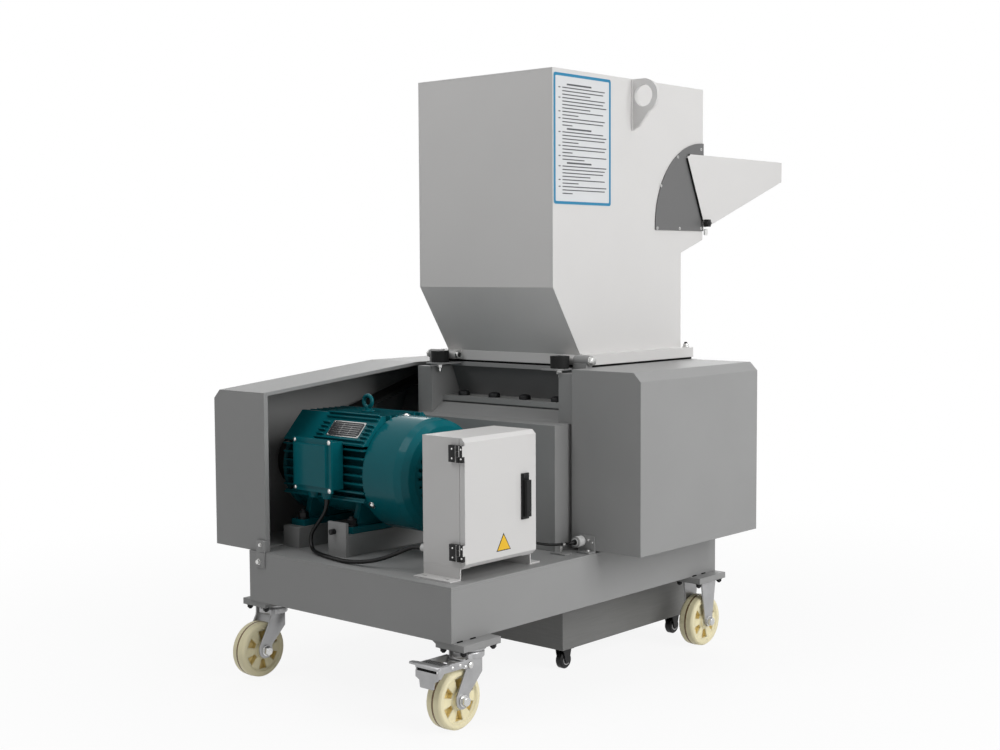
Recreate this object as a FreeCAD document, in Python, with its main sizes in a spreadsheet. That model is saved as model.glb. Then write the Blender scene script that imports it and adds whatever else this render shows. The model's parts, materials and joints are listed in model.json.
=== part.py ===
import FreeCAD, Part
import math
import os
import sys
from types import SimpleNamespace

import Sketcher

# Plastic crusher on a castered base, in millimetres.
# X runs along the rotor shaft, +Y is the feeding side, Z is up from the floor.
# Sizes named ..._y are distances behind the front face of the base.
SIZES = {
    # base
    "front_y": -682.25,
    "base_half": 315,
    "base_len": 957,
    "base_top": 292,
    "skirt_low": 177,
    "plate": 5,
    "well_half": 190,
    "well_front": 520,
    "well_back": 920,
    # casters
    "caster_x": 306,
    "caster_front": 60,
    "caster_rear": 901,
    "pad_wide": 78,
    "pad_long": 112,
    "pad_thick": 7,
    "pad_slope": 12,
    "wheel_r": 62.5,
    "wheel_wide": 40,
    "wheel_trail": 46,
    "hub_r": 17,
    "axle_r": 6,
    "axle_gap": 0.05,
    "fork_gap": 4,
    "fork_thick": 4,
    "crown_low": 140,
    "brake_back": 28,
    "brake_z": 133,
    "brake_pin_r": 4,
    "crown_r": 33,
    "fixed_fork_half": 30,
    "fixed_fork_foot": 14,
    # bin
    "bin_half": 212,
    "bin_front": 482,
    "bin_len": 503,
    "bin_low": 50,
    "bin_top": 255,
    "bin_sheet": 3,
    "bin_wheel_r": 20,
    "bin_wheel_wide": 18,
    "bin_caster_in": 24,
    "bin_caster_end": 32,
    # chamber
    "bore_half": 200,
    "side_thick": 25,
    "post_wide": 47,
    "post_deep": 20,
    "chamber_front": 484,
    "chamber_back": 957,
    "chamber_top": 690,
    "rim_thick": 10,
    "rim_front": 547,
    "rim_back": 976,
    "throat_front": 557,
    "throat_back": 948,
    "front_wall_low": 618,
    "front_wall_lean": 29,
    "wall_thick": 12,
    "clamp_front": 522,
    "clamp_thick": 13,
    "knife_thick": 12,
    "knife_reach": 612,
    "housing_half": 236,
    "housing_front": 426,
    "housing_top": 577,
    # rotor
    "rotor_y": 735,
    "rotor_z": 515,
    "shaft_r": 30,
    "shaft_gap": 0.05,
    "rotor_r": 108,
    "claw_count": 9,
    "claw_thick": 18,
    "screen_r": 122,
    "screen_thick": 5,
    "bearing_r": 62,
    "bearing_end": 255,
    # covers
    "cover_half": 438,
    "cover_in": 247,
    "cover_front": 473,
    "cover_back": 948,
    "cover_low": 297,
    "cover_top": 701,
    "cover_chamfer": 20,
    "guard_in": 261,
    "guard_floor_in": 300,
    "guard_front": 4,
    "guard_low": 292,
    "guard_front_top": 653,
    "guard_top": 698,
    "guard_knee": 490,
    "sheet": 3,
    "guard_rim": 12,
    # belt drive
    "belt_in": 53,
    "belt_wide": 60,
    "belt_thick": 9,
    "pulley_big_r": 150,
    "pulley_small_r": 56,
    "pulley_gap": 1,
    # motor
    "motor_y": 235,
    "motor_z": 471,
    "belt_to_shield": 65,
    "motor_right": 52,
    "frame_r": 108,
    "fin_thick": 4,
    "shield_thick": 24,
    "cowl_r": 128,
    "cowl_len": 130,
    "cowl_lip": 10,
    "motor_shaft_r": 19,
    "frame_side": 125,
    "frame_high": 129,
    "pad_side": 66,
    "pad_top": 66,
    "fin_field": 114,
    "fin_count": 7,
    "cowl_sheet": 3,
    "cowl_round": 34,
    "foot_half": 130,
    "foot_span": 163,
    "foot_wide": 44,
    "foot_thick": 14,
    "rail_top": 340,
    "rail_wide": 54,
    "rail_half": 150,
    "rail_sheet": 5,
    "tension_top": 368,
    "tension_thick": 8,
    "box_front": 60,
    "box_half": 63,
    "box_shift": 14,
    "box_high": 120,
    "box_z": 492,
    "box_lid": 12,
    "box_deep": 36,
    "box_inset": 11,
    "gland_shift": 22,
    "gland_pitch": 44,
    "eye_shift": 20,
    "eye_r": 13.5,
    "eye_rod": 4.5,
    # cabinet
    "cab_back": 180,
    "cab_front": 284,
    "cab_left": 60,
    "cab_wide": 224,
    "cab_low": 318,
    "cab_top": 586,
    "cab_sheet": 2,
    "door_gap": 1,
    "door_thick": 14,
    "door_rim": 3,
    "door_slope": 9,
    "hinge_reach": 8,
    "hinge_long": 34,
    "hinge_inset": 32,
    "bracket_thick": 3,
    "bracket_foot": 30,
    "handle_in": 38,
    "handle_rise": 80,
    "handle_tall": 98,
    "gland_rise": 27,
    "lead_out": 26,
    "lead_rise": 13,
    # safety switch of the flywheel cover
    "switch_x": 278,
    "switch_r": 11.5,
    "switch_long": 28,
    "switch_rise": 24.5,
    "switch_plate": 4,
    "switch_tall": 38,
    # hopper
    "hopper_half": 208.5,
    "hopper_front": 454,
    "hopper_back": 1054,
    "hopper_crease": 885,
    "hopper_top": 1375,
    "hopper_foot": 553,
    "neck_back": 958,
    "neck_drop": 410,
    "shoulder_drop": 377,
    "hopper_sheet": 4,
    "seal_thick": 5,
    "flange_thick": 24,
    "flange_over": 26,
    "seal_in": 3,
    "seal_wide": 12,
    "hinge_y": 537,
    "hinge_rise": 17,
    "hinge_pin_r": 8,
    "knuckle_r": 10.5,
    "barrel_r": 12,
    "barrel_out": 252,
    "barrel_mid": 208,
    "barrel_in": 163,
    "lug_y": 751,
    "lug_thick": 8,
    "lug_out": 34,
    "lug_drop": 41,
    "lug_r": 40,
    "lug_hole_r": 25.5,
    "lug_tall": 81,
    "mouth_low_drop": 329,
    "mouth_drop": 139,
    "quad_r": 208,
    "quad_thick": 3,
    # feed tray
    "tray_pivot_y": 1062,
    "tray_pivot_drop": 335,
    "tray_tip": 1428,
    "tray_top_drop": 165,
    "tray_in": 976,
    "tray_lip_drop": 217,
    "tray_sheet": 3,
    "tray_gap": 0.5,
    "knob_r": 7,
    "knob_long": 12,
    # buffers
    "buffer_x": 189,
    "buffer_y": 502,
    "buffer_r": 21.5,
    "buffer_flare": 1,
    "buffer_tall": 28,
    "buffer_plate": 4,
    "buffer_edge": 9,
    # cables
    "cable_r": 4.5,
    "switch_cable_r": 3,
}

doc = FreeCAD.newDocument("crusher")
sheet = doc.addObject("Spreadsheet::Sheet", "sizes")
for row, (alias, number) in enumerate(SIZES.items(), 1):
    sheet.set(f"A{row}", alias)
    sheet.set(f"B{row}", str(number))
    sheet.setAlias(f"B{row}", alias)
doc.recompute()


class Size:
    """A length that carries both its number and the expression that gives it."""

    def __init__(self, number, words):
        self.number = number
        self.words = words

    def join(self, other, sign, number, first=True):
        words = other.words if isinstance(other, Size) else repr(other)
        pair = (self.words, words) if first else (words, self.words)
        return Size(number, f"({pair[0]} {sign} {pair[1]})")

    def __add__(self, other):
        return self.join(other, "+", self.number + value(other))

    def __radd__(self, other):
        return self.join(other, "+", value(other) + self.number, False)

    def __sub__(self, other):
        return self.join(other, "-", self.number - value(other))

    def __rsub__(self, other):
        return self.join(other, "-", value(other) - self.number, False)

    def __mul__(self, other):
        return self.join(other, "*", self.number * value(other))

    def __rmul__(self, other):
        return self.join(other, "*", value(other) * self.number, False)

    def __truediv__(self, other):
        return self.join(other, "/", self.number / value(other))

    def __neg__(self):
        return Size(-self.number, f"(-{self.words})")


def value(size):
    return size.number if isinstance(size, Size) else size


def words(size):
    return size.words if isinstance(size, Size) else repr(size)


s = SimpleNamespace(**{alias: Size(number, f"sizes.{alias}") for alias, number in SIZES.items()})
nodes = {}

# Sizes that follow from the others
s.rim_top = s.chamber_top + s.rim_thick
s.flange_low = s.rim_top + s.seal_thick
s.hopper_base = s.flange_low + s.flange_thick
s.hinge_z = s.rim_top + s.hinge_rise
s.lug_z = s.hopper_top - s.lug_drop
s.lug_weld_low = s.lug_z - s.lug_tall
s.neck_top = s.hopper_top - s.neck_drop
s.neck_shoulder = s.hopper_top - s.shoulder_drop
s.mouth_low = s.hopper_top - s.mouth_low_drop
s.mouth_high = s.hopper_top - s.mouth_drop
s.tray_pivot_z = s.hopper_top - s.tray_pivot_drop
s.tray_top = s.hopper_top - s.tray_top_drop
s.tray_lip = s.hopper_top - s.tray_lip_drop
s.belt_plane = s.cover_half - s.belt_in
s.motor_left = s.belt_plane - s.belt_to_shield
s.motor_mid = (s.motor_left + s.motor_right) / 2
s.box_mid = s.motor_mid - s.box_shift
s.gland_x = s.box_mid - s.gland_shift
s.fork_half_gap = s.wheel_wide / 2 + s.fork_gap
s.fork_half = s.fork_half_gap + s.fork_thick


def behind(size):
    """The Y of a point that lies this far behind the front face of the base."""
    return s.front_y + size


def spare(name):
    """A free internal name for a construction object."""
    return f"{name}_{len(doc.Objects)}"


def bind(thing, path, size):
    if isinstance(size, Size):
        thing.setExpression(path, size.words)


def put(thing, x=0, y=0, z=0):
    for axis, size in (("x", x), ("y", y), ("z", z)):
        setattr(thing.Placement.Base, axis, value(size))
        bind(thing, f"Placement.Base.{axis}", size)
    base = FreeCAD.Vector(value(x), value(y), value(z))
    thing.Placement = FreeCAD.Placement(base, thing.Placement.Rotation)
    for axis, size in (("x", x), ("y", y), ("z", z)):
        bind(thing, f"Placement.Base.{axis}", size)
    return thing


def node(name, thing):
    """Name a finished sub-part."""
    thing.Label = name
    nodes[name] = thing
    return thing


def box(x, y, z):
    """A block between two limits along each axis."""
    block = doc.addObject("Part::Box", spare("Block"))
    for side, (low, high) in (("Length", x), ("Width", y), ("Height", z)):
        setattr(block, side, value(high) - value(low))
        bind(block, side, high - low)
    return put(block, x[0], y[0], z[0])


TURNS = {
    "x": FreeCAD.Rotation(FreeCAD.Vector(0, 1, 0), 90),
    "y": FreeCAD.Rotation(FreeCAD.Vector(1, 0, 0), -90),
    "z": FreeCAD.Rotation(),
}


def rod(axis, low, high, across, radius):
    """A cylinder along an axis, from low to high, centred on the other two coordinates."""
    bar = doc.addObject("Part::Cylinder", spare("Rod"))
    bar.Radius = value(radius)
    bar.Height = value(high) - value(low)
    bind(bar, "Radius", radius)
    bind(bar, "Height", high - low)
    bar.Placement = FreeCAD.Placement(FreeCAD.Vector(), TURNS[axis])
    spots = {"x": (low, *across), "y": (across[0], low, across[1]), "z": (*across, low)}
    return put(bar, *spots[axis])


def cut(base, *tools):
    thing = doc.addObject("Part::Cut", spare("Cut"))
    thing.Base = base
    thing.Tool = tools[0] if len(tools) == 1 else join(*tools)
    return thing


def join(*pieces):
    thing = doc.addObject("Part::MultiFuse", spare("Join"))
    thing.Shapes = list(pieces)
    thing.Refine = True
    return thing


def group(*pieces):
    """Like pieces that don't touch, kept as one sub-part."""
    thing = doc.addObject("Part::Compound", spare("Group"))
    thing.Links = list(pieces)
    return thing


def mirrored(piece, normal=(1, 0, 0), base=(0, 0, 0)):
    """The same piece on the other side of a plane."""
    other = doc.addObject("Part::Mirroring", spare("Mirror"))
    other.Source = piece
    other.Normal = FreeCAD.Vector(*normal)
    other.Base = FreeCAD.Vector(*[value(size) for size in base])
    for axis, size in zip("xyz", base):
        bind(other, f"Base.{axis}", size)
    return other


PLANES = {"XY": ("XY_Plane", 1), "XZ": ("XZ_Plane", -1), "YZ": ("YZ_Plane", 1)}


def sketch_on(body, plane, at):
    """An empty sketch on one of the body's own planes, moved along that plane's normal."""
    role, sign = PLANES[plane]
    sketch = body.newObject("Sketcher::SketchObject", spare("Sketch"))
    sketch.AttachmentSupport = [(part, "") for part in body.Origin.OriginFeatures if part.Role == role]
    sketch.MapMode = "FlatFace"
    offset = at if sign > 0 else -at
    sketch.AttachmentOffset = FreeCAD.Placement(FreeCAD.Vector(0, 0, value(offset)), FreeCAD.Rotation())
    bind(sketch, "AttachmentOffset.Base.z", offset)
    return sketch


def pin(sketch, kind, *where):
    """Add one driven size to a sketch."""
    size = where[-1]
    at = sketch.addConstraint(Sketcher.Constraint(kind, *where[:-1], value(size)))
    bind(sketch, f"Constraints[{at}]", size)


def draw_outline(sketch, points):
    """A closed outline of straight edges, each corner fixed from the origin."""
    spots = [FreeCAD.Vector(value(u), value(v), 0) for u, v in points]
    first = sketch.GeometryCount
    count = len(points)
    for start, end in zip(spots, spots[1:] + spots[:1]):
        sketch.addGeometry(Part.LineSegment(start, end), False)
    for at in range(count):
        following = first + (at + 1) % count
        sketch.addConstraint(Sketcher.Constraint("Coincident", first + at, 2, following, 1))
    for at, (u, v) in enumerate(points):
        pin(sketch, "DistanceX", -1, 1, first + at, 1, u)
        pin(sketch, "DistanceY", -1, 1, first + at, 1, v)


def draw_circle(sketch, u, v, radius):
    spot = FreeCAD.Vector(value(u), value(v), 0)
    at = sketch.addGeometry(Part.Circle(spot, FreeCAD.Vector(0, 0, 1), value(radius)), False)
    pin(sketch, "DistanceX", -1, 1, at, 3, u)
    pin(sketch, "DistanceY", -1, 1, at, 3, v)
    pin(sketch, "Radius", at, radius)


def raise_pad(body, sketch, length):
    pad = body.newObject("PartDesign::Pad", spare("Pad"))
    pad.Profile = sketch
    pad.Length = value(length)
    bind(pad, "Length", length)
    sketch.Visibility = False
    return pad


def slab(plane, outline, span, holes=(), bosses=()):
    """A plate of one outline, square to a plane, from span[0] to span[1] along its normal.

    holes are circles left out of the outline, bosses are discs added to it."""
    body = doc.addObject("PartDesign::Body", spare("Slab"))
    at = span[0] if PLANES[plane][1] > 0 else span[1]
    sketch = sketch_on(body, plane, at)
    draw_outline(sketch, outline)
    for u, v, radius in holes:
        draw_circle(sketch, u, v, radius)
    raise_pad(body, sketch, span[1] - span[0])
    for u, v, radius in bosses:
        disc = sketch_on(body, plane, at)
        draw_circle(disc, u, v, radius)
        raise_pad(body, disc, span[1] - span[0])
    return body


def rectangle(u, v):
    return [(u[0], v[0]), (u[1], v[0]), (u[1], v[1]), (u[0], v[1])]


def turned(profile, y, z):
    """A body turned about an axis along X through (y, z). The profile is (x, radius) pairs."""
    body = doc.addObject("PartDesign::Body", spare("Turned"))
    sketch = sketch_on(body, "XZ", 0)
    draw_outline(sketch, profile)
    turn = body.newObject("PartDesign::Revolution", spare("Turn"))
    turn.Profile = sketch
    turn.ReferenceAxis = (sketch, ["H_Axis"])
    turn.Angle = 360
    body.Tip = turn
    put(body, 0, y, z)
    return body


# Base: a welded box with a deck, open below, and a well under the chamber
def make_base():
    wide = (-s.base_half, s.base_half)
    skirt = (s.skirt_low, s.base_top - s.plate)
    deck = box(wide, (behind(0), behind(s.base_len)), (skirt[1], s.base_top))
    well = box((-s.well_half, s.well_half), (behind(s.well_front), behind(s.well_back)), (skirt[1], s.base_top))
    node("base_deck", cut(deck, well))
    front = box(wide, (behind(0), behind(s.plate)), skirt)
    side = box(
        (s.base_half - s.plate, s.base_half),
        (behind(s.plate), behind(s.base_len - s.plate)),
        skirt,
    )
    node("base_side_skirts", group(side, mirrored(side)))
    gate = s.bin_half + 14
    rear = [
        (-s.base_half, skirt[0]),
        (-gate, skirt[0]),
        (-gate, s.bin_top + 12),
        (gate, s.bin_top + 12),
        (gate, skirt[0]),
        (s.base_half, skirt[0]),
        (s.base_half, skirt[1]),
        (-s.base_half, skirt[1]),
    ]
    back = slab("XZ", rear, (behind(s.base_len - s.plate), behind(s.base_len)))
    node("base_end_skirts", group(front, back))


# Casters: pads under the base, swivel forks in front, fixed forks behind
def make_casters():
    low = s.skirt_low - s.pad_thick
    plate_low = low - s.pad_thick
    wheel_z = s.wheel_r
    plates = []
    for y in (s.caster_front, s.caster_rear):
        for side in (1, -1):
            middle = s.caster_x * side
            wide = (middle - s.pad_wide / 2, middle + s.pad_wide / 2)
            long = (behind(y) - s.pad_long / 2, behind(y) + s.pad_long / 2)
            inner = wide[0] - s.pad_slope if side > 0 else wide[0]
            outer = wide[1] if side > 0 else wide[1] + s.pad_slope
            outline = [(wide[0], low), (wide[1], low), (outer, s.skirt_low), (inner, s.skirt_low)]
            stack = [slab("XZ", outline, long), box(wide, long, (plate_low, low))]
            if y is s.caster_front:
                stack.append(rod("z", plate_low - 6, plate_low, (middle, behind(y)), s.crown_r - 5))
            plates.append(join(*stack))
    node("caster_plates", group(*plates))

    half_gap = s.fork_half_gap
    leg_out = s.fork_half
    forks = []
    for side in (1, -1):
        middle = s.caster_x * side
        y = behind(s.caster_front)
        top = plate_low - 6.5
        crown = rod("z", s.crown_low, top, (middle, y), s.crown_r)
        axle_y = y - s.wheel_trail
        leg = [
            (y - s.crown_r + 2, top - 3),
            (y - s.crown_r + 2, s.crown_low),
            (axle_y - 12, wheel_z + 6),
            (axle_y - 12, wheel_z - 6),
            (axle_y + 4, wheel_z - 12),
            (axle_y + 13, wheel_z - 4),
            (y + s.crown_r - 2, s.crown_low - 18),
            (y + s.crown_r - 2, top - 3),
        ]
        legs = []
        for hand in (1, -1):
            near = middle + half_gap * hand
            far = middle + leg_out * hand
            legs.append(slab("YZ", leg, (near, far) if hand > 0 else (far, near)))
        axle = rod("x", middle - leg_out - 6, middle + leg_out + 6, (axle_y, wheel_z), s.axle_r)
        pieces = [crown, *legs, axle]
        if side > 0:
            reach = leg_out + 5
            pieces.append(
                rod("x", middle - reach, middle + reach, (y - s.brake_back, s.brake_z), s.brake_pin_r)
            )
        forks.append(join(*pieces))
    node("right_swivel_fork", forks[0])
    node("left_swivel_fork", forks[1])

    fixed = []
    for side in (1, -1):
        middle = s.caster_x * side
        y = behind(s.caster_rear)
        half = s.fixed_fork_half
        foot = s.fixed_fork_foot
        web = box(
            (middle - leg_out, middle + leg_out),
            (y - half, y + half),
            (plate_low - s.fork_thick, plate_low),
        )
        leg = [
            (y - half, plate_low),
            (y - foot, wheel_z - foot * 0.3),
            (y - foot * 0.4, wheel_z - foot * 0.9),
            (y + foot * 0.4, wheel_z - foot * 0.9),
            (y + foot, wheel_z - foot * 0.3),
            (y + half, plate_low),
        ]
        legs = []
        for hand in (1, -1):
            near = middle + half_gap * hand
            far = middle + leg_out * hand
            legs.append(slab("YZ", leg, (near, far) if hand > 0 else (far, near)))
        axle = rod("x", middle - leg_out - 6, middle + leg_out + 6, (y, wheel_z), s.axle_r)
        fixed.append(join(web, *legs, axle))
    node("rear_caster_forks", group(*fixed))

    for name, side, y in (
        ("front_right_wheel", 1, s.caster_front - s.wheel_trail),
        ("front_left_wheel", -1, s.caster_front - s.wheel_trail),
        ("rear_right_wheel", 1, s.caster_rear),
        ("rear_left_wheel", -1, s.caster_rear),
    ):
        node(name, make_wheel(s.caster_x * side, behind(y)))


def make_wheel(x, y):
    """A moulded wheel: crowned tread, rim, hub and six pockets on each side."""
    half = s.wheel_wide / 2
    bore = s.axle_r + s.axle_gap
    profile = [
        (x - half - 2, bore),
        (x + half + 2, bore),
        (x + half + 2, s.hub_r),
        (x + half - 5, s.hub_r + 2),
        (x + half - 5, s.wheel_r - 16),
        (x + half, s.wheel_r - 13),
        (x + half, s.wheel_r - 5),
        (x + half - 5, s.wheel_r - 1),
        (x, s.wheel_r),
        (x - half + 5, s.wheel_r - 1),
        (x - half, s.wheel_r - 5),
        (x - half, s.wheel_r - 13),
        (x - half + 5, s.wheel_r - 16),
        (x - half + 5, s.hub_r + 2),
        (x - half - 2, s.hub_r),
    ]
    wheel = turned(profile, y, s.wheel_r)
    inner = s.hub_r + 5
    outer = s.wheel_r - 19
    sketch = sketch_on(wheel, "YZ", x + half)
    draw_outline(sketch, [(-5, inner), (5, inner), (11, outer), (-11, outer)])
    pocket = wheel.newObject("PartDesign::Pocket", spare("Pocket"))
    pocket.Profile = sketch
    pocket.Length = 17
    other = sketch_on(wheel, "YZ", x - half)
    draw_outline(other, [(-5, inner), (5, inner), (11, outer), (-11, outer)])
    back = wheel.newObject("PartDesign::Pocket", spare("Pocket"))
    back.Profile = other
    back.Length = 17
    back.Reversed = True
    axis = [part for part in wheel.Origin.OriginFeatures if part.Role == "X_Axis"][0]
    pattern = wheel.newObject("PartDesign::PolarPattern", spare("Round"))
    pattern.Originals = [pocket, back]
    pattern.Axis = (axis, [""])
    pattern.Angle = 360
    pattern.Occurrences = 6
    wheel.Tip = pattern
    return wheel


def make_brake():
    """The tread plate of the total lock, on the near caster."""
    middle = s.caster_x
    y = behind(s.caster_front)
    inside = s.wheel_wide / 2 + s.fork_gap + s.fork_thick + 0.5
    half = inside + 3
    front = y - s.wheel_trail - s.wheel_r
    pivot = (y - s.brake_back, s.brake_z)
    cheek = [
        (pivot[0] + 8, pivot[1] - 7),
        (pivot[0] + 8, pivot[1] + 6),
        (pivot[0] - 4, 146),
        (front - 2, 146),
        (front - 14, 138),
        (front - 12, 110),
        (front - 9, 110),
        (front - 9, 130),
    ]
    left = slab("YZ", cheek, (middle - half, middle - inside))
    right = slab("YZ", cheek, (middle + inside, middle + half))
    apron = box((middle - half, middle + half), (front - 15, front - 12), (98, 142))
    tread = box((middle - half, middle + half), (front - 15, front + 20), (143, 146))
    lever = rod("x", middle - half - 32, middle - half + 2, (front + 2, 137), 4)
    pin = rod("x", middle - half - 1, middle + half + 1, pivot, s.brake_pin_r + s.axle_gap)
    node("brake_pedal", cut(join(left, right, apron, tread, lever), pin))


# Collection bin on four small casters, under the chamber
def make_bin():
    low = s.bin_low
    back = s.bin_front + s.bin_len
    inside = s.bin_half - s.bin_sheet
    floor = box((-s.bin_half, s.bin_half), (behind(s.bin_front), behind(back)), (low, low + s.bin_sheet))
    side = box((inside, s.bin_half), (behind(s.bin_front), behind(back)), (low + s.bin_sheet, s.bin_top))
    node("bin_sides", group(side, mirrored(side)))
    ends = []
    for start in (s.bin_front, back - s.bin_sheet):
        ends.append(
            box(
                (-inside, inside),
                (behind(start), behind(start + s.bin_sheet)),
                (low + s.bin_sheet, s.bin_top),
            )
        )
    node("bin_floor_and_ends", join(floor, *ends))
    grip = rod("x", -60, 60, (behind(back + 28), s.bin_top - 80), 6)
    stays = [rod("y", behind(back), behind(back + 28), (x, s.bin_top - 80), 5) for x in (-52, 52)]
    node("bin_handle", join(grip, *stays))
    forks = []
    x = s.bin_half - s.bin_caster_in
    half = s.bin_wheel_wide / 2
    for end, y in (("front", s.bin_front + s.bin_caster_end), ("rear", back - s.bin_caster_end)):
        wheels = []
        for side_of in (1, -1):
            middle = x * side_of
            mount = box((middle - 16, middle + 16), (behind(y - 20), behind(y + 20)), (low - 4, low))
            legs = []
            for hand in (1, -1):
                near = middle + (half + 2) * hand
                far = middle + (half + 4) * hand
                leg = [
                    (behind(y - 14), low - 4),
                    (behind(y - 6), s.bin_wheel_r - 6),
                    (behind(y + 6), s.bin_wheel_r - 6),
                    (behind(y + 14), low - 4),
                ]
                legs.append(slab("YZ", leg, (near, far) if hand > 0 else (far, near)))
            axle = rod("x", middle - half - 4, middle + half + 4, (behind(y), s.bin_wheel_r), 3)
            forks.append(join(mount, *legs, axle))
            profile = [
                (middle - half, 3 + s.axle_gap),
                (middle + half, 3 + s.axle_gap),
                (middle + half, s.bin_wheel_r - 3),
                (middle + half - 3, s.bin_wheel_r),
                (middle - half + 3, s.bin_wheel_r),
                (middle - half, s.bin_wheel_r - 3),
            ]
            wheels.append(turned(profile, behind(y), s.bin_wheel_r))
        node(f"bin_{end}_wheels", group(*wheels))
    node("bin_casters", group(*forks))


# Cutting chamber: side plates with posts, walls, knives, screen and lower housing
def make_chamber():
    front = behind(s.chamber_front)
    back = behind(s.chamber_back)
    outer = s.bore_half + s.side_thick
    post = s.bore_half + s.post_wide
    outline = [
        (s.bore_half, front),
        (post, front),
        (post, front + s.post_deep),
        (outer, front + s.post_deep),
        (outer, back - s.post_deep),
        (post, back - s.post_deep),
        (post, back),
        (s.bore_half, back),
    ]
    side = cut(
        slab("XY", outline, (s.base_top, s.chamber_top)),
        rod("x", s.bore_half, outer, (behind(s.rotor_y), s.rotor_z), s.shaft_r + s.shaft_gap),
    )
    node("chamber_side_plates", group(side, mirrored(side)))
    rim_wide = (-post, post)
    rim = box(rim_wide, (behind(s.rim_front), behind(s.rim_back)), (s.chamber_top, s.chamber_top + s.rim_thick))
    throat = box(
        (-s.bore_half, s.bore_half),
        (behind(s.throat_front) + s.wall_thick, behind(s.throat_back)),
        (s.chamber_top, s.chamber_top + s.rim_thick),
    )
    node("chamber_rim", cut(rim, throat))
    across = (-s.bore_half, s.bore_half)
    lean = [
        (behind(s.throat_front), s.chamber_top),
        (behind(s.throat_front) + s.wall_thick, s.chamber_top),
        (behind(s.throat_front + s.front_wall_lean) + s.wall_thick, s.front_wall_low),
        (behind(s.throat_front + s.front_wall_lean), s.front_wall_low),
    ]
    leaning = slab("YZ", lean, across)
    rear = box(across, (behind(s.throat_back), back), (s.base_top, s.chamber_top))
    node("chamber_end_walls", group(leaning, rear))
    clamp_low = s.front_wall_low - s.clamp_thick
    clamp_back = s.throat_front + s.front_wall_lean + s.wall_thick
    clamp = box(across, (behind(s.clamp_front), behind(clamp_back)), (clamp_low, s.front_wall_low))
    knife = [
        (behind(s.clamp_front + 12), clamp_low - s.knife_thick),
        (behind(s.knife_reach - 10), clamp_low - s.knife_thick),
        (behind(s.knife_reach), clamp_low),
        (behind(s.clamp_front + 12), clamp_low),
    ]
    rear_knife = [
        (behind(s.throat_back), s.rotor_z + 4),
        (behind(s.rotor_y) + s.rotor_r + 14, s.rotor_z + 4),
        (behind(s.rotor_y) + s.rotor_r + 4, s.rotor_z + 4 + s.knife_thick),
        (behind(s.throat_back), s.rotor_z + 4 + s.knife_thick),
    ]
    node("fixed_knives", group(join(clamp, slab("YZ", knife, across)), slab("YZ", rear_knife, across)))
    knife_low = clamp_low - s.knife_thick
    inner = s.clamp_front + 12
    core = [
        (behind(s.chamber_front), s.base_top),
        (behind(s.clamp_front + 60), s.base_top),
        (behind(s.clamp_front + 60), s.rotor_z - 100),
        (behind(inner + 20), s.rotor_z),
        (behind(inner + 20), knife_low),
        (behind(inner), knife_low),
        (behind(inner), clamp_low - 4),
        (behind(s.clamp_front - 2), clamp_low - 4),
        (behind(s.chamber_front), s.housing_top),
    ]
    face = box(
        (-s.housing_half, s.housing_half),
        (behind(s.housing_front), behind(s.chamber_front)),
        (s.base_top, s.housing_top),
    )
    node("lower_housing", join(face, slab("YZ", core, across)))
    inner_r = s.screen_r
    outer_r = s.screen_r + s.screen_thick
    tube = cut(
        rod("x", -s.bore_half, s.bore_half, (behind(s.rotor_y), s.rotor_z), outer_r),
        rod("x", -s.bore_half, s.bore_half, (behind(s.rotor_y), s.rotor_z), inner_r),
    )
    lid = box(
        across,
        (behind(s.rotor_y) - outer_r, behind(s.rotor_y) + outer_r),
        (s.rotor_z - 40, s.rotor_z + outer_r),
    )
    node("screen", cut(tube, lid))
    bearing = cut(
        rod("x", outer, s.bearing_end, (behind(s.rotor_y), s.rotor_z), s.bearing_r),
        rod("x", outer, s.bearing_end, (behind(s.rotor_y), s.rotor_z), s.shaft_r + s.shaft_gap),
    )
    node("bearing_housings", group(bearing, mirrored(bearing)))


def make_rotor():
    """Shaft, stepped claw discs and the big pulley on one axis."""
    y = behind(s.rotor_y)
    z = s.rotor_z
    far = s.belt_plane + s.belt_wide / 2
    shaft = rod("x", -far, s.bearing_end + 4, (y, z), s.shaft_r)
    discs = []
    usable = 2 * s.bore_half.number - 20
    pitch = usable / s.claw_count.number
    for at in range(int(s.claw_count.number)):
        x = -s.bore_half + 10 + pitch * at
        turn = (at % 3) * 40
        claws = []
        for arm in range(3):
            claws.append(math.radians(turn + 120 * arm))
        outline = []
        for angle in claws:
            for shift, reach in ((-0.36, 0.62), (0.12, 1.0), (0.36, 0.80)):
                outline.append(
                    (
                        y + s.rotor_r * (reach * math.cos(angle + shift)),
                        z + s.rotor_r * (reach * math.sin(angle + shift)),
                    )
                )
        bored = cut(
            slab("YZ", outline, (x, x + s.claw_thick)),
            rod("x", x - 1, x + s.claw_thick + 1, (y, z), s.shaft_r + s.shaft_gap),
        )
        discs.append(bored)
    node("rotor_claws", group(*discs))
    half = s.belt_wide / 2
    pulley = turned(
        [
            (-s.belt_plane - half, s.shaft_r - 2),
            (-s.belt_plane + half, s.shaft_r - 2),
            (-s.belt_plane + half, s.shaft_r + 18),
            (-s.belt_plane + 8, s.shaft_r + 18),
            (-s.belt_plane + 8, s.pulley_big_r - 18),
            (-s.belt_plane + half, s.pulley_big_r - 18),
            (-s.belt_plane + half, s.pulley_big_r),
            (-s.belt_plane - half, s.pulley_big_r),
            (-s.belt_plane - half, s.pulley_big_r - 18),
            (-s.belt_plane - 8, s.pulley_big_r - 18),
            (-s.belt_plane - 8, s.shaft_r + 18),
            (-s.belt_plane - half, s.shaft_r + 18),
        ],
        y,
        z,
    )
    node("rotor_shaft_and_pulley", join(shaft, pulley))


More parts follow.
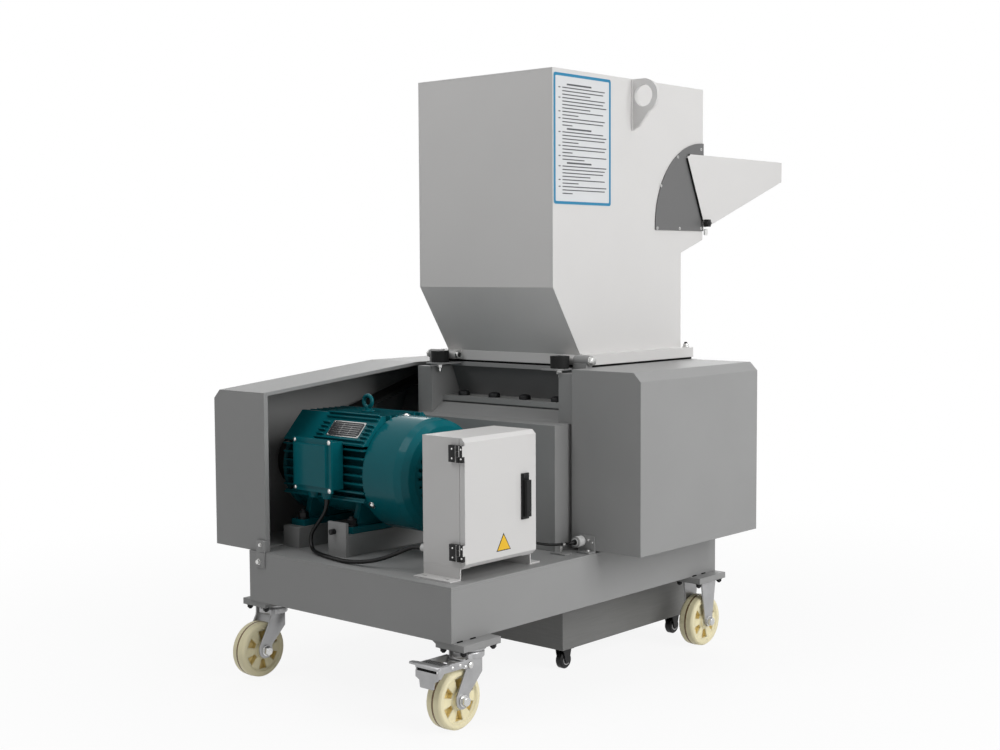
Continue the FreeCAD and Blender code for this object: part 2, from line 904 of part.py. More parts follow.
def make_belts():
    """One fixed loop round both pulleys, a hair clear of their rims."""
    half = s.belt_wide / 2 - 4
    near = (behind(s.motor_y), s.motor_z)
    far = (behind(s.rotor_y), s.rotor_z)

    def loop(extra):
        small = s.pulley_small_r + extra
        big = s.pulley_big_r + extra
        dy = value(far[0]) - value(near[0])
        dz = value(far[1]) - value(near[1])
        span = math.hypot(dy, dz)
        lean = math.atan2(dz, dy)
        open_ = math.acos((value(small) - value(big)) / span)
        upper = lean + open_
        lower = lean - open_

        def on(centre, radius, angle):
            return FreeCAD.Vector(
                0,
                value(centre[0]) + value(radius) * math.cos(angle),
                value(centre[1]) + value(radius) * math.sin(angle),
            )

        edges = [
            Part.LineSegment(on(near, small, upper), on(far, big, upper)).toShape(),
            Part.Arc(on(far, big, upper), on(far, big, lean), on(far, big, lower)).toShape(),
            Part.LineSegment(on(far, big, lower), on(near, small, lower)).toShape(),
            Part.Arc(on(near, small, lower), on(near, small, lean + math.pi), on(near, small, upper)).toShape(),
        ]
        return Part.Face(Part.Wire(edges))

    ring = loop(s.pulley_gap + s.belt_thick).cut(loop(s.pulley_gap))
    belts = doc.addObject("Part::Feature", "Belts")
    belts.Shape = ring.extrude(FreeCAD.Vector(2 * half.number, 0, 0))
    put(belts, -s.belt_plane - half, 0, 0)
    node("belts", belts)


# Covers: the belt guard as sheet plates, and the closed flywheel cover
def make_covers():
    t = s.sheet
    y0 = behind(s.guard_front)
    y1 = behind(s.cover_back)
    knee = behind(s.guard_knee)
    outer = [
        (y0, s.guard_low),
        (y1, s.guard_low),
        (y1, s.guard_top - s.cover_chamfer),
        (knee, s.guard_top - s.cover_chamfer),
        (y0, s.guard_front_top - s.cover_chamfer),
    ]
    node("guard_outer_sheet", slab("YZ", outer, (-s.cover_half, -s.cover_half + t)))
    inside = (-s.cover_half + t, -s.guard_in)
    ends = []
    for span, top in (((y0, y0 + t), s.guard_front_top), ((y1 - t, y1), s.guard_top)):
        end = [
            (inside[0], s.guard_low),
            (inside[1], s.guard_low),
            (inside[1], top - t),
            (-s.cover_half + s.cover_chamfer, top - t),
            (inside[0], top - s.cover_chamfer),
        ]
        ends.append(slab("XZ", end, span))
    bottom = box((inside[0], -s.guard_floor_in), (y0, y1), (s.guard_low, s.guard_low + t))
    lip = (-s.guard_in - t, -s.guard_in)
    front_lip = box(lip, (y0, y0 + s.guard_rim), (s.guard_low, s.guard_front_top - t))
    rear_lip = box(lip, (y1 - s.guard_rim, y1), (s.guard_low, s.guard_top - t))
    node("guard_edge_sheets", join(*ends, bottom, front_lip, rear_lip))
    across = (-s.cover_half + s.cover_chamfer, -s.guard_in)
    slope = [
        (y0, s.guard_front_top - t),
        (knee, s.guard_top - t),
        (knee, s.guard_top),
        (y0, s.guard_front_top),
    ]
    flat = [
        (knee, s.guard_top - t),
        (y1, s.guard_top - t),
        (y1, s.guard_top),
        (knee, s.guard_top),
    ]
    lip_deep = s.guard_rim * 0.7
    edge = [
        (y0, s.guard_front_top - lip_deep),
        (knee, s.guard_top - lip_deep),
        (y1, s.guard_top - lip_deep),
        (y1, s.guard_top),
        (knee, s.guard_top),
        (y0, s.guard_front_top),
    ]
    top_lip = cut(
        slab("YZ", edge, lip),
        box(lip, (y0, y0 + s.guard_rim), (s.guard_low, s.guard_front_top - t)),
        box(lip, (y1 - s.guard_rim, y1), (s.guard_low, s.guard_top - t)),
    )
    bevel = doc.addObject("Part::Feature", spare("Bevel"))
    bevel.Shape = guard_bevel()
    node("guard_top_sheets", join(slab("YZ", slope, across), slab("YZ", flat, across), top_lip, bevel))

    cover = [
        (s.cover_in, s.cover_low),
        (s.cover_half, s.cover_low),
        (s.cover_half, s.cover_top - s.cover_chamfer),
        (s.cover_half - s.cover_chamfer, s.cover_top),
        (s.cover_in, s.cover_top),
    ]
    room = [
        (s.cover_in, s.cover_low + t),
        (s.cover_half - t, s.cover_low + t),
        (s.cover_half - t, s.cover_top - s.cover_chamfer - t * 0.4),
        (s.cover_half - s.cover_chamfer - t * 0.4, s.cover_top - t),
        (s.cover_in, s.cover_top - t),
    ]
    span = (behind(s.cover_front), behind(s.cover_back))
    node(
        "flywheel_cover",
        cut(slab("XZ", cover, span), slab("XZ", room, (span[0] + t, span[1] - t))),
    )


def guard_bevel():
    """The bevelled strip along the outer top edge of the belt guard."""
    c = s.cover_chamfer.number
    t = s.sheet.number
    x = -s.cover_half.number
    stations = (
        (value(behind(s.guard_front)), s.guard_front_top.number),
        (value(behind(s.guard_knee)), s.guard_top.number),
        (value(behind(s.cover_back)), s.guard_top.number),
    )
    pieces = []
    for (y0, z0), (y1, z1) in zip(stations, stations[1:]):
        wires = []
        for y, z in ((y0, z0), (y1, z1)):
            corners = [
                FreeCAD.Vector(x, y, z - c),
                FreeCAD.Vector(x + c, y, z),
                FreeCAD.Vector(x + c, y, z - t),
                FreeCAD.Vector(x + t, y, z - c),
            ]
            wires.append(Part.makePolygon([*corners, corners[0]]))
        pieces.append(Part.makeLoft(wires, True, True))
    return pieces[0].fuse(pieces[1]).removeSplitter()


# Motor on two rails across the deck
def finned(body, plane, outline, span, axis, reach, count):
    """Add one fin to a body and repeat it evenly along one of the body's axes."""
    fin = sketch_on(body, plane, span[0])
    draw_outline(fin, outline)
    pad = raise_pad(body, fin, span[1] - span[0])
    direction = [part for part in body.Origin.OriginFeatures if part.Role == axis][0]
    pattern = body.newObject("PartDesign::LinearPattern", spare("Row"))
    pattern.Originals = [pad]
    pattern.Direction = (direction, [""])
    pattern.Length = value(reach)
    bind(pattern, "Length", reach)
    pattern.Occurrences = value(count)
    bind(pattern, "Occurrences", count)
    body.Tip = pattern


def make_motor_frame(left, right):
    """A round core with upright fins on top, level fins at the sides and plain pads between."""
    span = (left, right)
    half = s.fin_thick / 2
    wide = s.fin_field / 2
    body = doc.addObject("PartDesign::Body", spare("Frame"))
    core = sketch_on(body, "YZ", left)
    draw_circle(core, 0, 0, s.frame_r)
    raise_pad(body, core, right - left)
    pads = sketch_on(body, "YZ", left)
    outline = [
        (-s.frame_side + s.fin_thick, -wide),
        (s.frame_side - s.fin_thick, -wide),
        (s.frame_side - s.fin_thick, -wide + 6),
        (s.frame_r * 0.8, -wide + 6),
        (s.frame_r * 0.8, s.pad_side),
        (s.frame_side, s.pad_side),
        (s.pad_top, s.frame_high),
        (s.pad_top - 6, s.frame_high),
        (s.pad_top - 6, s.frame_r * 0.7),
        (-s.pad_top + 6, s.frame_r * 0.7),
        (-s.pad_top + 6, s.frame_high),
        (-s.pad_top, s.frame_high),
        (-s.frame_side, s.pad_side),
        (-s.frame_r * 0.8, s.pad_side),
        (-s.frame_r * 0.8, -wide + 6),
        (-s.frame_side + s.fin_thick, -wide + 6),
    ]
    draw_outline(pads, outline)
    raise_pad(body, pads, right - left)
    upright = rectangle((-wide - half, -wide + half), (0, s.frame_high))
    finned(body, "YZ", upright, span, "Y_Axis", s.fin_field, s.fin_count)
    level = rectangle((-s.frame_side, s.frame_side), (-wide - half, -wide + half))
    finned(body, "YZ", level, span, "Z_Axis", s.fin_field, s.fin_count)
    put(body, 0, behind(s.motor_y), s.motor_z)
    return body


def motor_feet(centre):
    """Two cast feet on the rails, each with a web up to the frame."""
    y = behind(s.motor_y)
    feet = []
    for hand in (1, -1):
        middle = centre + s.foot_span / 2 * hand
        wide = (middle - s.foot_wide / 2, middle + s.foot_wide / 2)
        feet.append(box(wide, (y - s.foot_half, y + s.foot_half), (s.rail_top, s.rail_top + s.foot_thick)))
        web = [
            (y - s.foot_half + 26, s.rail_top + s.foot_thick),
            (y + s.foot_half - 26, s.rail_top + s.foot_thick),
            (y + s.frame_r - 20, s.motor_z - 60),
            (y - s.frame_r + 20, s.motor_z - 60),
        ]
        feet.append(slab("YZ", web, (middle - 8, middle + 8)))
    return feet


def make_eyebolt(x):
    """The ring that lifts the motor, its collar seated on the flat top pad."""
    y = behind(s.motor_y)
    top = s.motor_z + s.frame_high
    seat = rod("z", top, top + 3, (x, y), 15)
    stem = rod("z", top, top + 12, (x, y), 7)
    ring = doc.addObject("Part::Torus", spare("Eye"))
    ring.Radius1 = value(s.eye_r)
    ring.Radius2 = value(s.eye_rod)
    bind(ring, "Radius1", s.eye_r)
    bind(ring, "Radius2", s.eye_rod)
    ring.Placement = FreeCAD.Placement(FreeCAD.Vector(), FreeCAD.Rotation(FreeCAD.Vector(1, 0, 0), 90))
    put(ring, x, y, top + 10 + s.eye_r)
    return join(seat, stem, ring)


def make_end_shield(left):
    """The drive-end shield: a rim, a dished face and a bearing boss."""
    bore = s.motor_shaft_r + s.shaft_gap
    far = left - s.shield_thick
    return turned(
        [
            (far - 8, bore),
            (left, bore),
            (left, s.frame_r + 8),
            (left - 12, s.frame_r + 8),
            (left - 12, s.frame_r - 4),
            (far + 4, s.frame_r - 16),
            (far + 4, s.frame_r - 54),
            (far, s.frame_r - 58),
            (far - 8, s.frame_r - 60),
        ],
        behind(s.motor_y),
        s.motor_z,
    )


def make_cowl(start, end):
    """The fan's sheet cowl, with a rounded edge and slots in its sunk end."""
    t = s.cowl_sheet
    face = end - s.cowl_lip
    rim = s.cowl_r - s.cowl_round
    cowl = turned(
        [
            (start, s.cowl_r - t),
            (end - s.cowl_round, s.cowl_r - t),
            (end - s.cowl_round * 0.45, s.cowl_r - s.cowl_round * 0.3 - t),
            (face, rim - 2),
            (face, 0.0),
            (face + t, 0.0),
            (face + t, rim - 2),
            (end, rim),
            (end - s.cowl_round * 0.12, s.cowl_r - s.cowl_round * 0.5),
            (end - s.cowl_round * 0.45, s.cowl_r - s.cowl_round * 0.14),
            (end - s.cowl_round, s.cowl_r),
            (start, s.cowl_r),
        ],
        behind(s.motor_y),
        s.motor_z,
    )
    axis = [part for part in cowl.Origin.OriginFeatures if part.Role == "X_Axis"][0]
    for inner, outer, half, count in ((30, 52, 4, 12), (60, rim - 16, 4, 24)):
        sketch = sketch_on(cowl, "YZ", face - 1)
        draw_outline(sketch, [(-half, inner), (half, inner), (half, outer), (-half, outer)])
        slot = cowl.newObject("PartDesign::Pocket", spare("Slot"))
        slot.Profile = sketch
        slot.Length = value(t + 2)
        slot.Reversed = True
        bind(slot, "Length", t + 2)
        ring = cowl.newObject("PartDesign::PolarPattern", spare("Round"))
        ring.Originals = [slot]
        ring.Axis = (axis, [""])
        ring.Angle = 360
        ring.Occurrences = count
        cowl.Tip = ring
    return cowl


def make_terminal_box(left, right):
    """The terminal box on the motor's side, its lid with a raised panel, and all cable glands."""
    front = behind(s.box_front)
    lid_back = front + s.box_lid
    wide = (-s.box_mid - s.box_half, -s.box_mid + s.box_half)
    tall = (s.box_z - s.box_high / 2, s.box_z + s.box_high / 2)
    inset = s.box_inset
    lid = doc.addObject("PartDesign::Body", spare("Lid"))
    flange = sketch_on(lid, "XZ", lid_back)
    draw_outline(flange, rectangle(wide, tall))
    raise_pad(lid, flange, s.box_lid / 2)
    panel = sketch_on(lid, "XZ", lid_back)
    draw_outline(panel, rectangle((wide[0] + inset, wide[1] - inset), (tall[0] + inset, tall[1] - inset)))
    crown = raise_pad(lid, panel, s.box_lid)
    crown.TaperAngle = -12
    case = box(
        (wide[0] + inset * 0.6, wide[1] - inset * 0.6),
        (lid_back, lid_back + s.box_deep),
        (tall[0] + inset * 0.6, tall[1] - inset * 0.6),
    )
    neck = box(
        (wide[0] + inset * 2, wide[1] - inset * 2),
        (lid_back + s.box_deep, behind(s.motor_y) - s.frame_r * 0.7),
        (tall[0] + inset * 2, tall[1] - inset * 2),
    )
    room = box(
        (left, right),
        (behind(s.motor_y) - s.frame_side, behind(s.motor_y)),
        (tall[0] - 10, tall[1] + 10),
    )
    node("terminal_box", cut(join(lid, case, neck), room))
    gland_y = lid_back + s.box_deep / 2
    glands = []
    for x in (-s.gland_x, -s.gland_x - s.gland_pitch):
        nut = slab("XY", hexagon(x, gland_y, 12), (tall[0] - 12, tall[0] + inset * 0.6))
        glands.append(join(nut, rod("z", tall[0] - 17, tall[0], (x, gland_y), 9)))
    cab_y = behind(s.cab_left) + 14
    cab_z = s.cab_low + s.gland_rise
    glands.append(rod("x", s.cab_back - 16, s.cab_back, (cab_y, cab_z), 8))
    cab_end = behind(s.cab_left) + s.cab_wide
    lead = (s.cab_front - s.lead_out, s.cab_low + s.lead_rise)
    glands.append(rod("y", cab_end, cab_end + 16, lead, 7))
    node("cable_glands", group(*glands))


def hexagon(u, v, radius):
    """The corners of a hexagon round a point."""
    return [(u + radius * math.cos(math.pi / 3 * k), v + radius * math.sin(math.pi / 3 * k)) for k in range(6)]


def make_motor():
    y = behind(s.motor_y)
    z = s.motor_z
    left = -s.motor_left
    right = -s.motor_right
    centre = -s.motor_mid
    node("motor_frame", join(make_motor_frame(left, right), *motor_feet(centre)))
    node("eyebolt", make_eyebolt(centre + s.eye_shift))
    node("motor_end_shield", make_end_shield(left))
    node("fan_cowl", make_cowl(right, right + s.cowl_len))
    make_terminal_box(left, right)

    rails = []
    for hand in (1, -1):
        middle = centre + s.foot_span / 2 * hand
        half = s.rail_wide / 2
        outline = [
            (middle - half, s.base_top),
            (middle - half, s.rail_top),
            (middle + half, s.rail_top),
            (middle + half, s.base_top),
            (middle + half - s.rail_sheet, s.base_top),
            (middle + half - s.rail_sheet, s.rail_top - s.rail_sheet),
            (middle - half + s.rail_sheet, s.rail_top - s.rail_sheet),
            (middle - half + s.rail_sheet, s.base_top),
        ]
        ends = (y - s.rail_half, y + s.rail_half)
        cap = box((middle - half, middle + half), (ends[0], ends[0] + s.rail_sheet), (s.base_top, s.rail_top))
        rails.append(join(slab("XZ", outline, ends), cap))
    middle = centre + s.foot_span / 2
    plate_back = y - s.rail_half
    plate = box(
        (middle - s.rail_wide / 2 - 2, middle + s.rail_wide / 2 + 2),
        (plate_back - s.tension_thick, plate_back),
        (s.base_top, s.tension_top),
    )
    bolt = rod("y", plate_back - s.tension_thick - 12, y - s.foot_half, (middle - 8, s.rail_top + 7), 5)
    node("motor_rails", group(join(rails[0], plate, bolt), rails[1]))

    shaft = rod(
        "x",
        -s.belt_plane - s.belt_wide / 2,
        left - s.shield_thick / 2,
        (y, z),
        s.motor_shaft_r,
    )
    half = s.belt_wide / 2
    pulley = rod("x", -s.belt_plane - half, -s.belt_plane + half, (y, z), s.pulley_small_r)
    node("motor_shaft", join(shaft, pulley))


# Control cabinet on two bent brackets, with a door that opens
def make_cabinet():
    t = s.cab_sheet
    left = behind(s.cab_left)
    right = left + s.cab_wide
    deep = (s.cab_back, s.cab_front)
    rear = box((s.cab_back, s.cab_back + t), (left, right), (s.cab_low, s.cab_top))
    walls = (s.cab_back + t, s.cab_front)
    near = box(walls, (left, left + t), (s.cab_low, s.cab_top))
    far = box(walls, (right - t, right), (s.cab_low, s.cab_top))
    bottom = box(walls, (left + t, right - t), (s.cab_low, s.cab_low + t))
    top = box(walls, (left + t, right - t), (s.cab_top - t, s.cab_top))
    node("cabinet_top_bottom", group(bottom, top))
    door_x = s.cab_front + s.door_gap
    face_x = door_x + s.door_thick
    profile = [
        (door_x, s.cab_low),
        (face_x - s.door_slope, s.cab_low),
        (face_x, s.cab_low + s.door_slope),
        (face_x, s.cab_top - s.door_slope),
        (face_x - s.door_slope, s.cab_top),
        (door_x, s.cab_top),
    ]
    shell = slab("XZ", profile, (left, right))
    room = box(
        (door_x, face_x - t),
        (left + s.door_rim, right - s.door_rim),
        (s.cab_low + s.door_slope, s.cab_top - s.door_slope),
    )
    face = door_x + s.door_thick
    handle_y = right - s.handle_in
    tall = (s.cab_low + s.handle_rise, s.cab_low + s.handle_rise + s.handle_tall)
    plate = box((face, face + 4), (handle_y - 11, handle_y + 11), tall)
    grip = box((face + 4, face + 14), (handle_y - 7, handle_y + 7), (tall[0] + 6, tall[1] - 14))
    node("door_handle", join(plate, grip))
    fixed = []
    moving = []
    for z in (s.cab_low + s.hinge_inset, s.cab_top - s.hinge_inset):
        tall = (z - s.hinge_long / 2, z + s.hinge_long / 2)
        third = s.hinge_long / 3
        pin_x = s.cab_front + 1
        pin_y = left - s.hinge_reach / 2
        knuckle_r = s.hinge_reach / 2 - 0.5
        leaf = box((s.cab_front - 22, s.cab_front - 4), (left - s.hinge_reach, left), tall)
        knuckle = rod("z", tall[0], tall[0] + third, (pin_x, pin_y), knuckle_r)
        web = box((s.cab_front - 5, s.cab_front), (left - s.hinge_reach + 2, left), (tall[0], tall[0] + third))
        fixed.append(join(leaf, knuckle, web))
        up = (tall[0] + third + 0.4, tall[1])
        turning = rod("z", up[0], up[1], (pin_x, pin_y), knuckle_r)
        wing = box((s.cab_front + 2, face), (left - s.hinge_reach + 1, left), up)
        moving.append(join(turning, wing))
    node("cabinet_shell", join(rear, near, far, *fixed))
    node("cabinet_door", join(cut(shell, room), *moving))
    thick = s.bracket_thick
    brackets = []
    outline = [
        (left - s.bracket_foot, s.base_top),
        (left + thick, s.base_top),
        (left + thick, s.cab_low - thick),
        (left + s.bracket_foot, s.cab_low - thick),
        (left + s.bracket_foot, s.cab_low),
        (left, s.cab_low),
        (left, s.base_top + thick),
        (left - s.bracket_foot, s.base_top + thick),
    ]
    first = slab("YZ", outline, deep)
    slots = []
    for x in (s.cab_back + 17, s.cab_front - 25):
        slots.append(box((x - 7, x + 7), (left - 17, left - 11), (s.base_top - 1, s.base_top + thick + 1)))
    first = cut(first, *slots)
    brackets.append(first)
    brackets.append(mirrored(first, (0, 1, 0), (0, (left + right) / 2, 0)))
    node("cabinet_brackets", group(*brackets))


def make_switch():
    """The cover's safety switch: a round head on a bent plate that stands on the deck."""
    back = behind(s.cover_front)
    front = back - s.switch_plate
    edge = s.base_half - 1
    plate = box((s.switch_x - 10, edge), (front, back), (s.base_top, s.base_top + s.switch_tall))
    foot = box((s.switch_x + 4, edge), (front - 20, front), (s.base_top, s.base_top + s.switch_plate))
    axis = (s.switch_x, s.base_top + s.switch_rise)
    head = rod("y", back - s.switch_long, front, axis, s.switch_r)
    node("limit_switch", join(plate, foot, head))


# Hopper: a white sheet box with a sloped front, hinged at its front flange
def make_hopper():
    t = s.hopper_sheet
    half = s.hopper_half
    y = SimpleNamespace(
        front=behind(s.hopper_front),
        foot=behind(s.hopper_foot),
        neck=behind(s.neck_back),
        back=behind(s.hopper_back),
    )
    side = [
        (y.foot, s.hopper_base),
        (y.neck, s.hopper_base),
        (y.neck, s.neck_top),
        (y.back, s.neck_shoulder),
        (y.back, s.hopper_top),
        (y.front, s.hopper_top),
        (y.front, s.hopper_crease),
    ]
    panel = slab("YZ", side, (half - t, half))
    node("hopper_side_panels", group(panel, mirrored(panel)))
    inner = (-half + t, half - t)
    front = [
        (y.front, s.hopper_crease),
        (y.foot, s.hopper_base),
        (y.foot + t, s.hopper_base),
        (y.front + t, s.hopper_crease),
        (y.front + t, s.hopper_top - t),
        (y.front, s.hopper_top - t),
    ]
    node("hopper_front_sheet", slab("YZ", front, inner))
    roof = [
        (y.front, s.hopper_top - t),
        (y.back - t, s.hopper_top - t),
        (y.back - t, s.mouth_high),
        (y.back, s.mouth_high),
        (y.back, s.hopper_top),
        (y.front, s.hopper_top),
    ]
    node("hopper_roof_sheet", slab("YZ", roof, inner))
    rear = [
        (y.neck - t, s.hopper_base),
        (y.neck, s.hopper_base),
        (y.neck, s.neck_top),
        (y.back, s.neck_shoulder),
        (y.back, s.mouth_low - 14),
        (y.back - t, s.mouth_low - 14),
        (y.back - t, s.neck_shoulder + t / 2),
        (y.neck - t, s.neck_top + t / 2),
    ]
    node("hopper_rear_sheet", slab("YZ", rear, inner))
    flange_half = half + s.flange_over
    plate = box(
        (-flange_half, flange_half),
        (y.foot, y.neck + 18),
        (s.flange_low, s.flange_low + s.flange_thick),
    )
    throat = box(
        (-half + t, half - t),
        (y.foot + t, y.neck - t),
        (s.flange_low, s.flange_low + s.flange_thick),
    )
    seal_out = box(
        (-flange_half + s.seal_in, flange_half - s.seal_in),
        (y.foot + s.seal_in, y.neck + 18 - s.seal_in),
        (s.rim_top, s.flange_low),
    )
    seal_in = box(
        (-s.bore_half - 4, s.bore_half + 4),
        (y.foot + s.seal_in + s.seal_wide, y.neck + 2),
        (s.rim_top, s.flange_low),
    )
    node("hopper_gasket", cut(seal_out, seal_in))
    axis = (behind(s.hinge_y), s.hinge_z)
    arm = [
        (axis[0], s.hinge_z - s.knuckle_r * 0.7),
        (y.foot, s.flange_low + 1),
        (y.foot, s.flange_low + s.flange_thick),
        (axis[0], s.hinge_z + s.knuckle_r),
    ]
    eye = join(
        rod("x", s.barrel_in, s.barrel_mid, axis, s.knuckle_r),
        slab("YZ", arm, (s.barrel_in, s.barrel_mid)),
    )
    bored = cut(eye, rod("x", s.barrel_in, s.barrel_mid, axis, s.hinge_pin_r + s.axle_gap))
    node("hopper_flange", join(cut(plate, throat), bored, mirrored(bored)))
    lug_out = s.hopper_half + s.lug_out
    lug = [
        (s.hopper_half, s.lug_weld_low),
        (s.hopper_half + s.lug_r * 0.55, s.lug_weld_low + s.lug_r * 0.28),
        (lug_out + s.lug_r * 0.4, s.lug_z - s.lug_r * 0.917),
        (lug_out + s.lug_r * 0.8, s.lug_z - s.lug_r * 0.6),
        (lug_out, s.lug_z),
        (lug_out, s.lug_z + s.lug_r),
        (s.hopper_half, s.lug_z + s.lug_r),
    ]
    span = (behind(s.lug_y), behind(s.lug_y) + s.lug_thick)
    ear = cut(
        slab("XZ", lug, span, bosses=[(lug_out, s.lug_z, s.lug_r)]),
        rod("y", span[0] - 1, span[1] + 1, (lug_out, s.lug_z), s.lug_hole_r),
        box((s.hopper_half - s.lug_r, s.hopper_half), (span[0] - 1, span[1] + 1), (s.lug_weld_low, s.hopper_top)),
    )
    node("lifting_lugs", group(ear, mirrored(ear)))
    centre = (behind(s.hopper_back), s.mouth_low - 14)
    disc = rod("x", half, half + s.quad_thick, centre, s.quad_r)
    keep = box(
        (half, half + s.quad_thick),
        (centre[0] - s.quad_r, centre[0]),
        (centre[1] - 12, centre[1] + s.quad_r),
    )
    quad = doc.addObject("Part::Common", spare("Quadrant"))
    quad.Base = disc
    quad.Tool = keep
    node("quadrant_plates", group(quad, mirrored(quad)))


def make_tray():
    """Feed tray: sloping floor, two cheeks outside the hopper walls and an outer lip."""
    out = s.hopper_half + s.quad_thick + s.tray_gap
    pivot = (behind(s.tray_pivot_y), s.tray_pivot_z)
    tip = behind(s.tray_tip)
    t = s.tray_sheet
    cheek = [
        (pivot[0] - 10, pivot[1] - 8),
        (pivot[0] + 10, pivot[1] - 8),
        (tip, s.tray_lip),
        (tip, s.tray_top),
        (behind(s.tray_in) + 10, s.tray_top),
        (behind(s.tray_in), s.tray_top - 10),
    ]
    panel = slab("YZ", cheek, (out, out + t))
    knob = rod("x", out + t - 1, out + t + s.knob_long, pivot, s.knob_r)
    wing = join(panel, knob)
    node("tray_cheeks", group(wing, mirrored(wing)))
    floor = [
        (pivot[0] + 2, pivot[1] - 6),
        (tip, s.tray_lip),
        (tip, s.tray_top),
        (tip - t, s.tray_top),
        (tip - t, s.tray_lip + t),
        (pivot[0] + 2, pivot[1] - 6 + t),
    ]
    node("tray_floor", slab("YZ", floor, (-out, out)))


def hinge_stand():
    """The fixed half of a hopper hinge: its barrel, the block under it and the pin."""
    axis = (behind(s.hinge_y), s.hinge_z)
    start = s.barrel_mid + 0.5
    block = box(
        (start, s.cover_in),
        (axis[0] - s.barrel_r, behind(s.rim_front)),
        (s.chamber_top, s.hinge_z - 6),
    )
    barrel = rod("x", start, s.barrel_out, axis, s.barrel_r)
    return join(barrel, block, rod("x", s.barrel_in, s.barrel_out, axis, s.hinge_pin_r))


def make_brackets():
    """Rubber buffers on their plates, and the fixed halves of the hopper hinges."""
    y = behind(s.buffer_y)
    edge = s.buffer_r + s.buffer_edge
    rest = box(
        (s.buffer_x - edge, s.barrel_mid - 1),
        (y - edge, behind(s.rim_front)),
        (s.rim_top - s.buffer_plate, s.rim_top),
    )
    rubber = doc.addObject("Part::Cone", spare("Buffer"))
    for path, size in (
        ("Radius1", s.buffer_r),
        ("Radius2", s.buffer_r + s.buffer_flare),
        ("Height", s.buffer_tall),
    ):
        setattr(rubber, path, value(size))
        bind(rubber, path, size)
    put(rubber, s.buffer_x, y, s.rim_top)
    node("rubber_buffers", group(rubber, mirrored(rubber)))
    stand = hinge_stand()
    node("rim_brackets", group(rest, mirrored(rest), stand, mirrored(stand)))


def make_cable(name, radius, points):
    """A cable laid along chosen points, with an arc at each turn."""
    spots = [FreeCAD.Vector(*point) for point in points]
    edges = []
    radii = []
    last = spots[0]
    for before, corner, after in zip(spots, spots[1:], spots[2:]):
        first = corner - before
        second = after - corner
        run = min(first.Length, second.Length)
        turn = first.getAngle(second)
        back = 0.45 * run
        radii.append(back / math.tan(turn / 2))
        start = corner - first.normalize() * back
        end = corner + second.normalize() * back
        to_middle = (start + end) * 0.5 - corner
        depth = radii[-1] / math.cos(turn / 2) - radii[-1]
        middle = corner + to_middle.normalize() * depth
        edges.append(Part.LineSegment(last, start).toShape())
        edges.append(Part.Arc(start, middle, end).toShape())
        last = end
    edges.append(Part.LineSegment(last, spots[-1]).toShape())
    path = Part.Wire(edges)
    ring = Part.Wire(Part.makeCircle(radius.number, spots[0], spots[1] - spots[0]))
    tube = path.makePipeShell([ring], True, False)
    print(name, "length", round(path.Length), "least radius", round(min(radii), 1))
    print(name, "volume ratio", round(tube.Volume / (math.pi * radius.number**2 * path.Length), 4))
    cable = doc.addObject("Part::Feature", spare("Cable"))
    cable.Shape = tube
    put(cable, 0, behind(0), 0)
    node(name, cable)


# Routes in the frame of the base: X, distance behind its front face, Z
MOTOR_CABLE = [
    (-150, 90, 415),
    (-150, 90, 391),
    (-179, 86, 355),
    (-193, 82, 336),
    (-195, 79, 320),
    (-187.5, 75, 306),
    (-174, 69, 298),
    (-150, 58, 297.5),
    (-110, 46, 297),
    (-70, 37, 297.5),
    (-28, 32, 297),
    (20, 35, 301),
    (66, 44, 311),
    (106, 58, 328),
    (138, 74, 345),
    (164, 74, 345),
]
SWITCH_CABLE = [
    (258, 300, 331),
    (258, 320, 331),
    (262, 343, 326),
    (268, 369, 320),
    (274, 396, 317.5),
    (278, 422, 316.5),
    (278, 445, 316.5),
]


def main():
    make_base()
    make_casters()
    make_brake()
    make_bin()
    make_chamber()
    make_rotor()
    make_belts()
    make_covers()
    make_motor()
    make_cabinet()
    make_switch()
    make_hopper()
    make_tray()
    make_brackets()
    make_cable("motor_cable", s.cable_r, MOTOR_CABLE)
    make_cable("switch_cable", s.switch_cable_r, SWITCH_CABLE)
    doc.recompute()
    faults = [thing.Name for thing in doc.Objects if {"Invalid", "Error"} & set(thing.State)]
    for name, thing in nodes.items():
        if thing.Shape.isNull() or not thing.Shape.isValid():
            faults.append(name)
    if faults:
        sys.exit(f"failed: {faults}")
    os.makedirs("parts", exist_ok=True)
    for name, thing in nodes.items():
        thing.Shape.exportStep(f"parts/{name}.step")
    print(len(nodes), "nodes")
    box_all = FreeCAD.BoundBox()
    for thing in nodes.values():
        box_all.add(thing.Shape.BoundBox)
    print(box_all)


main()
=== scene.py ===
import json
import math

import bmesh
import bpy
from mathutils import Matrix, Vector


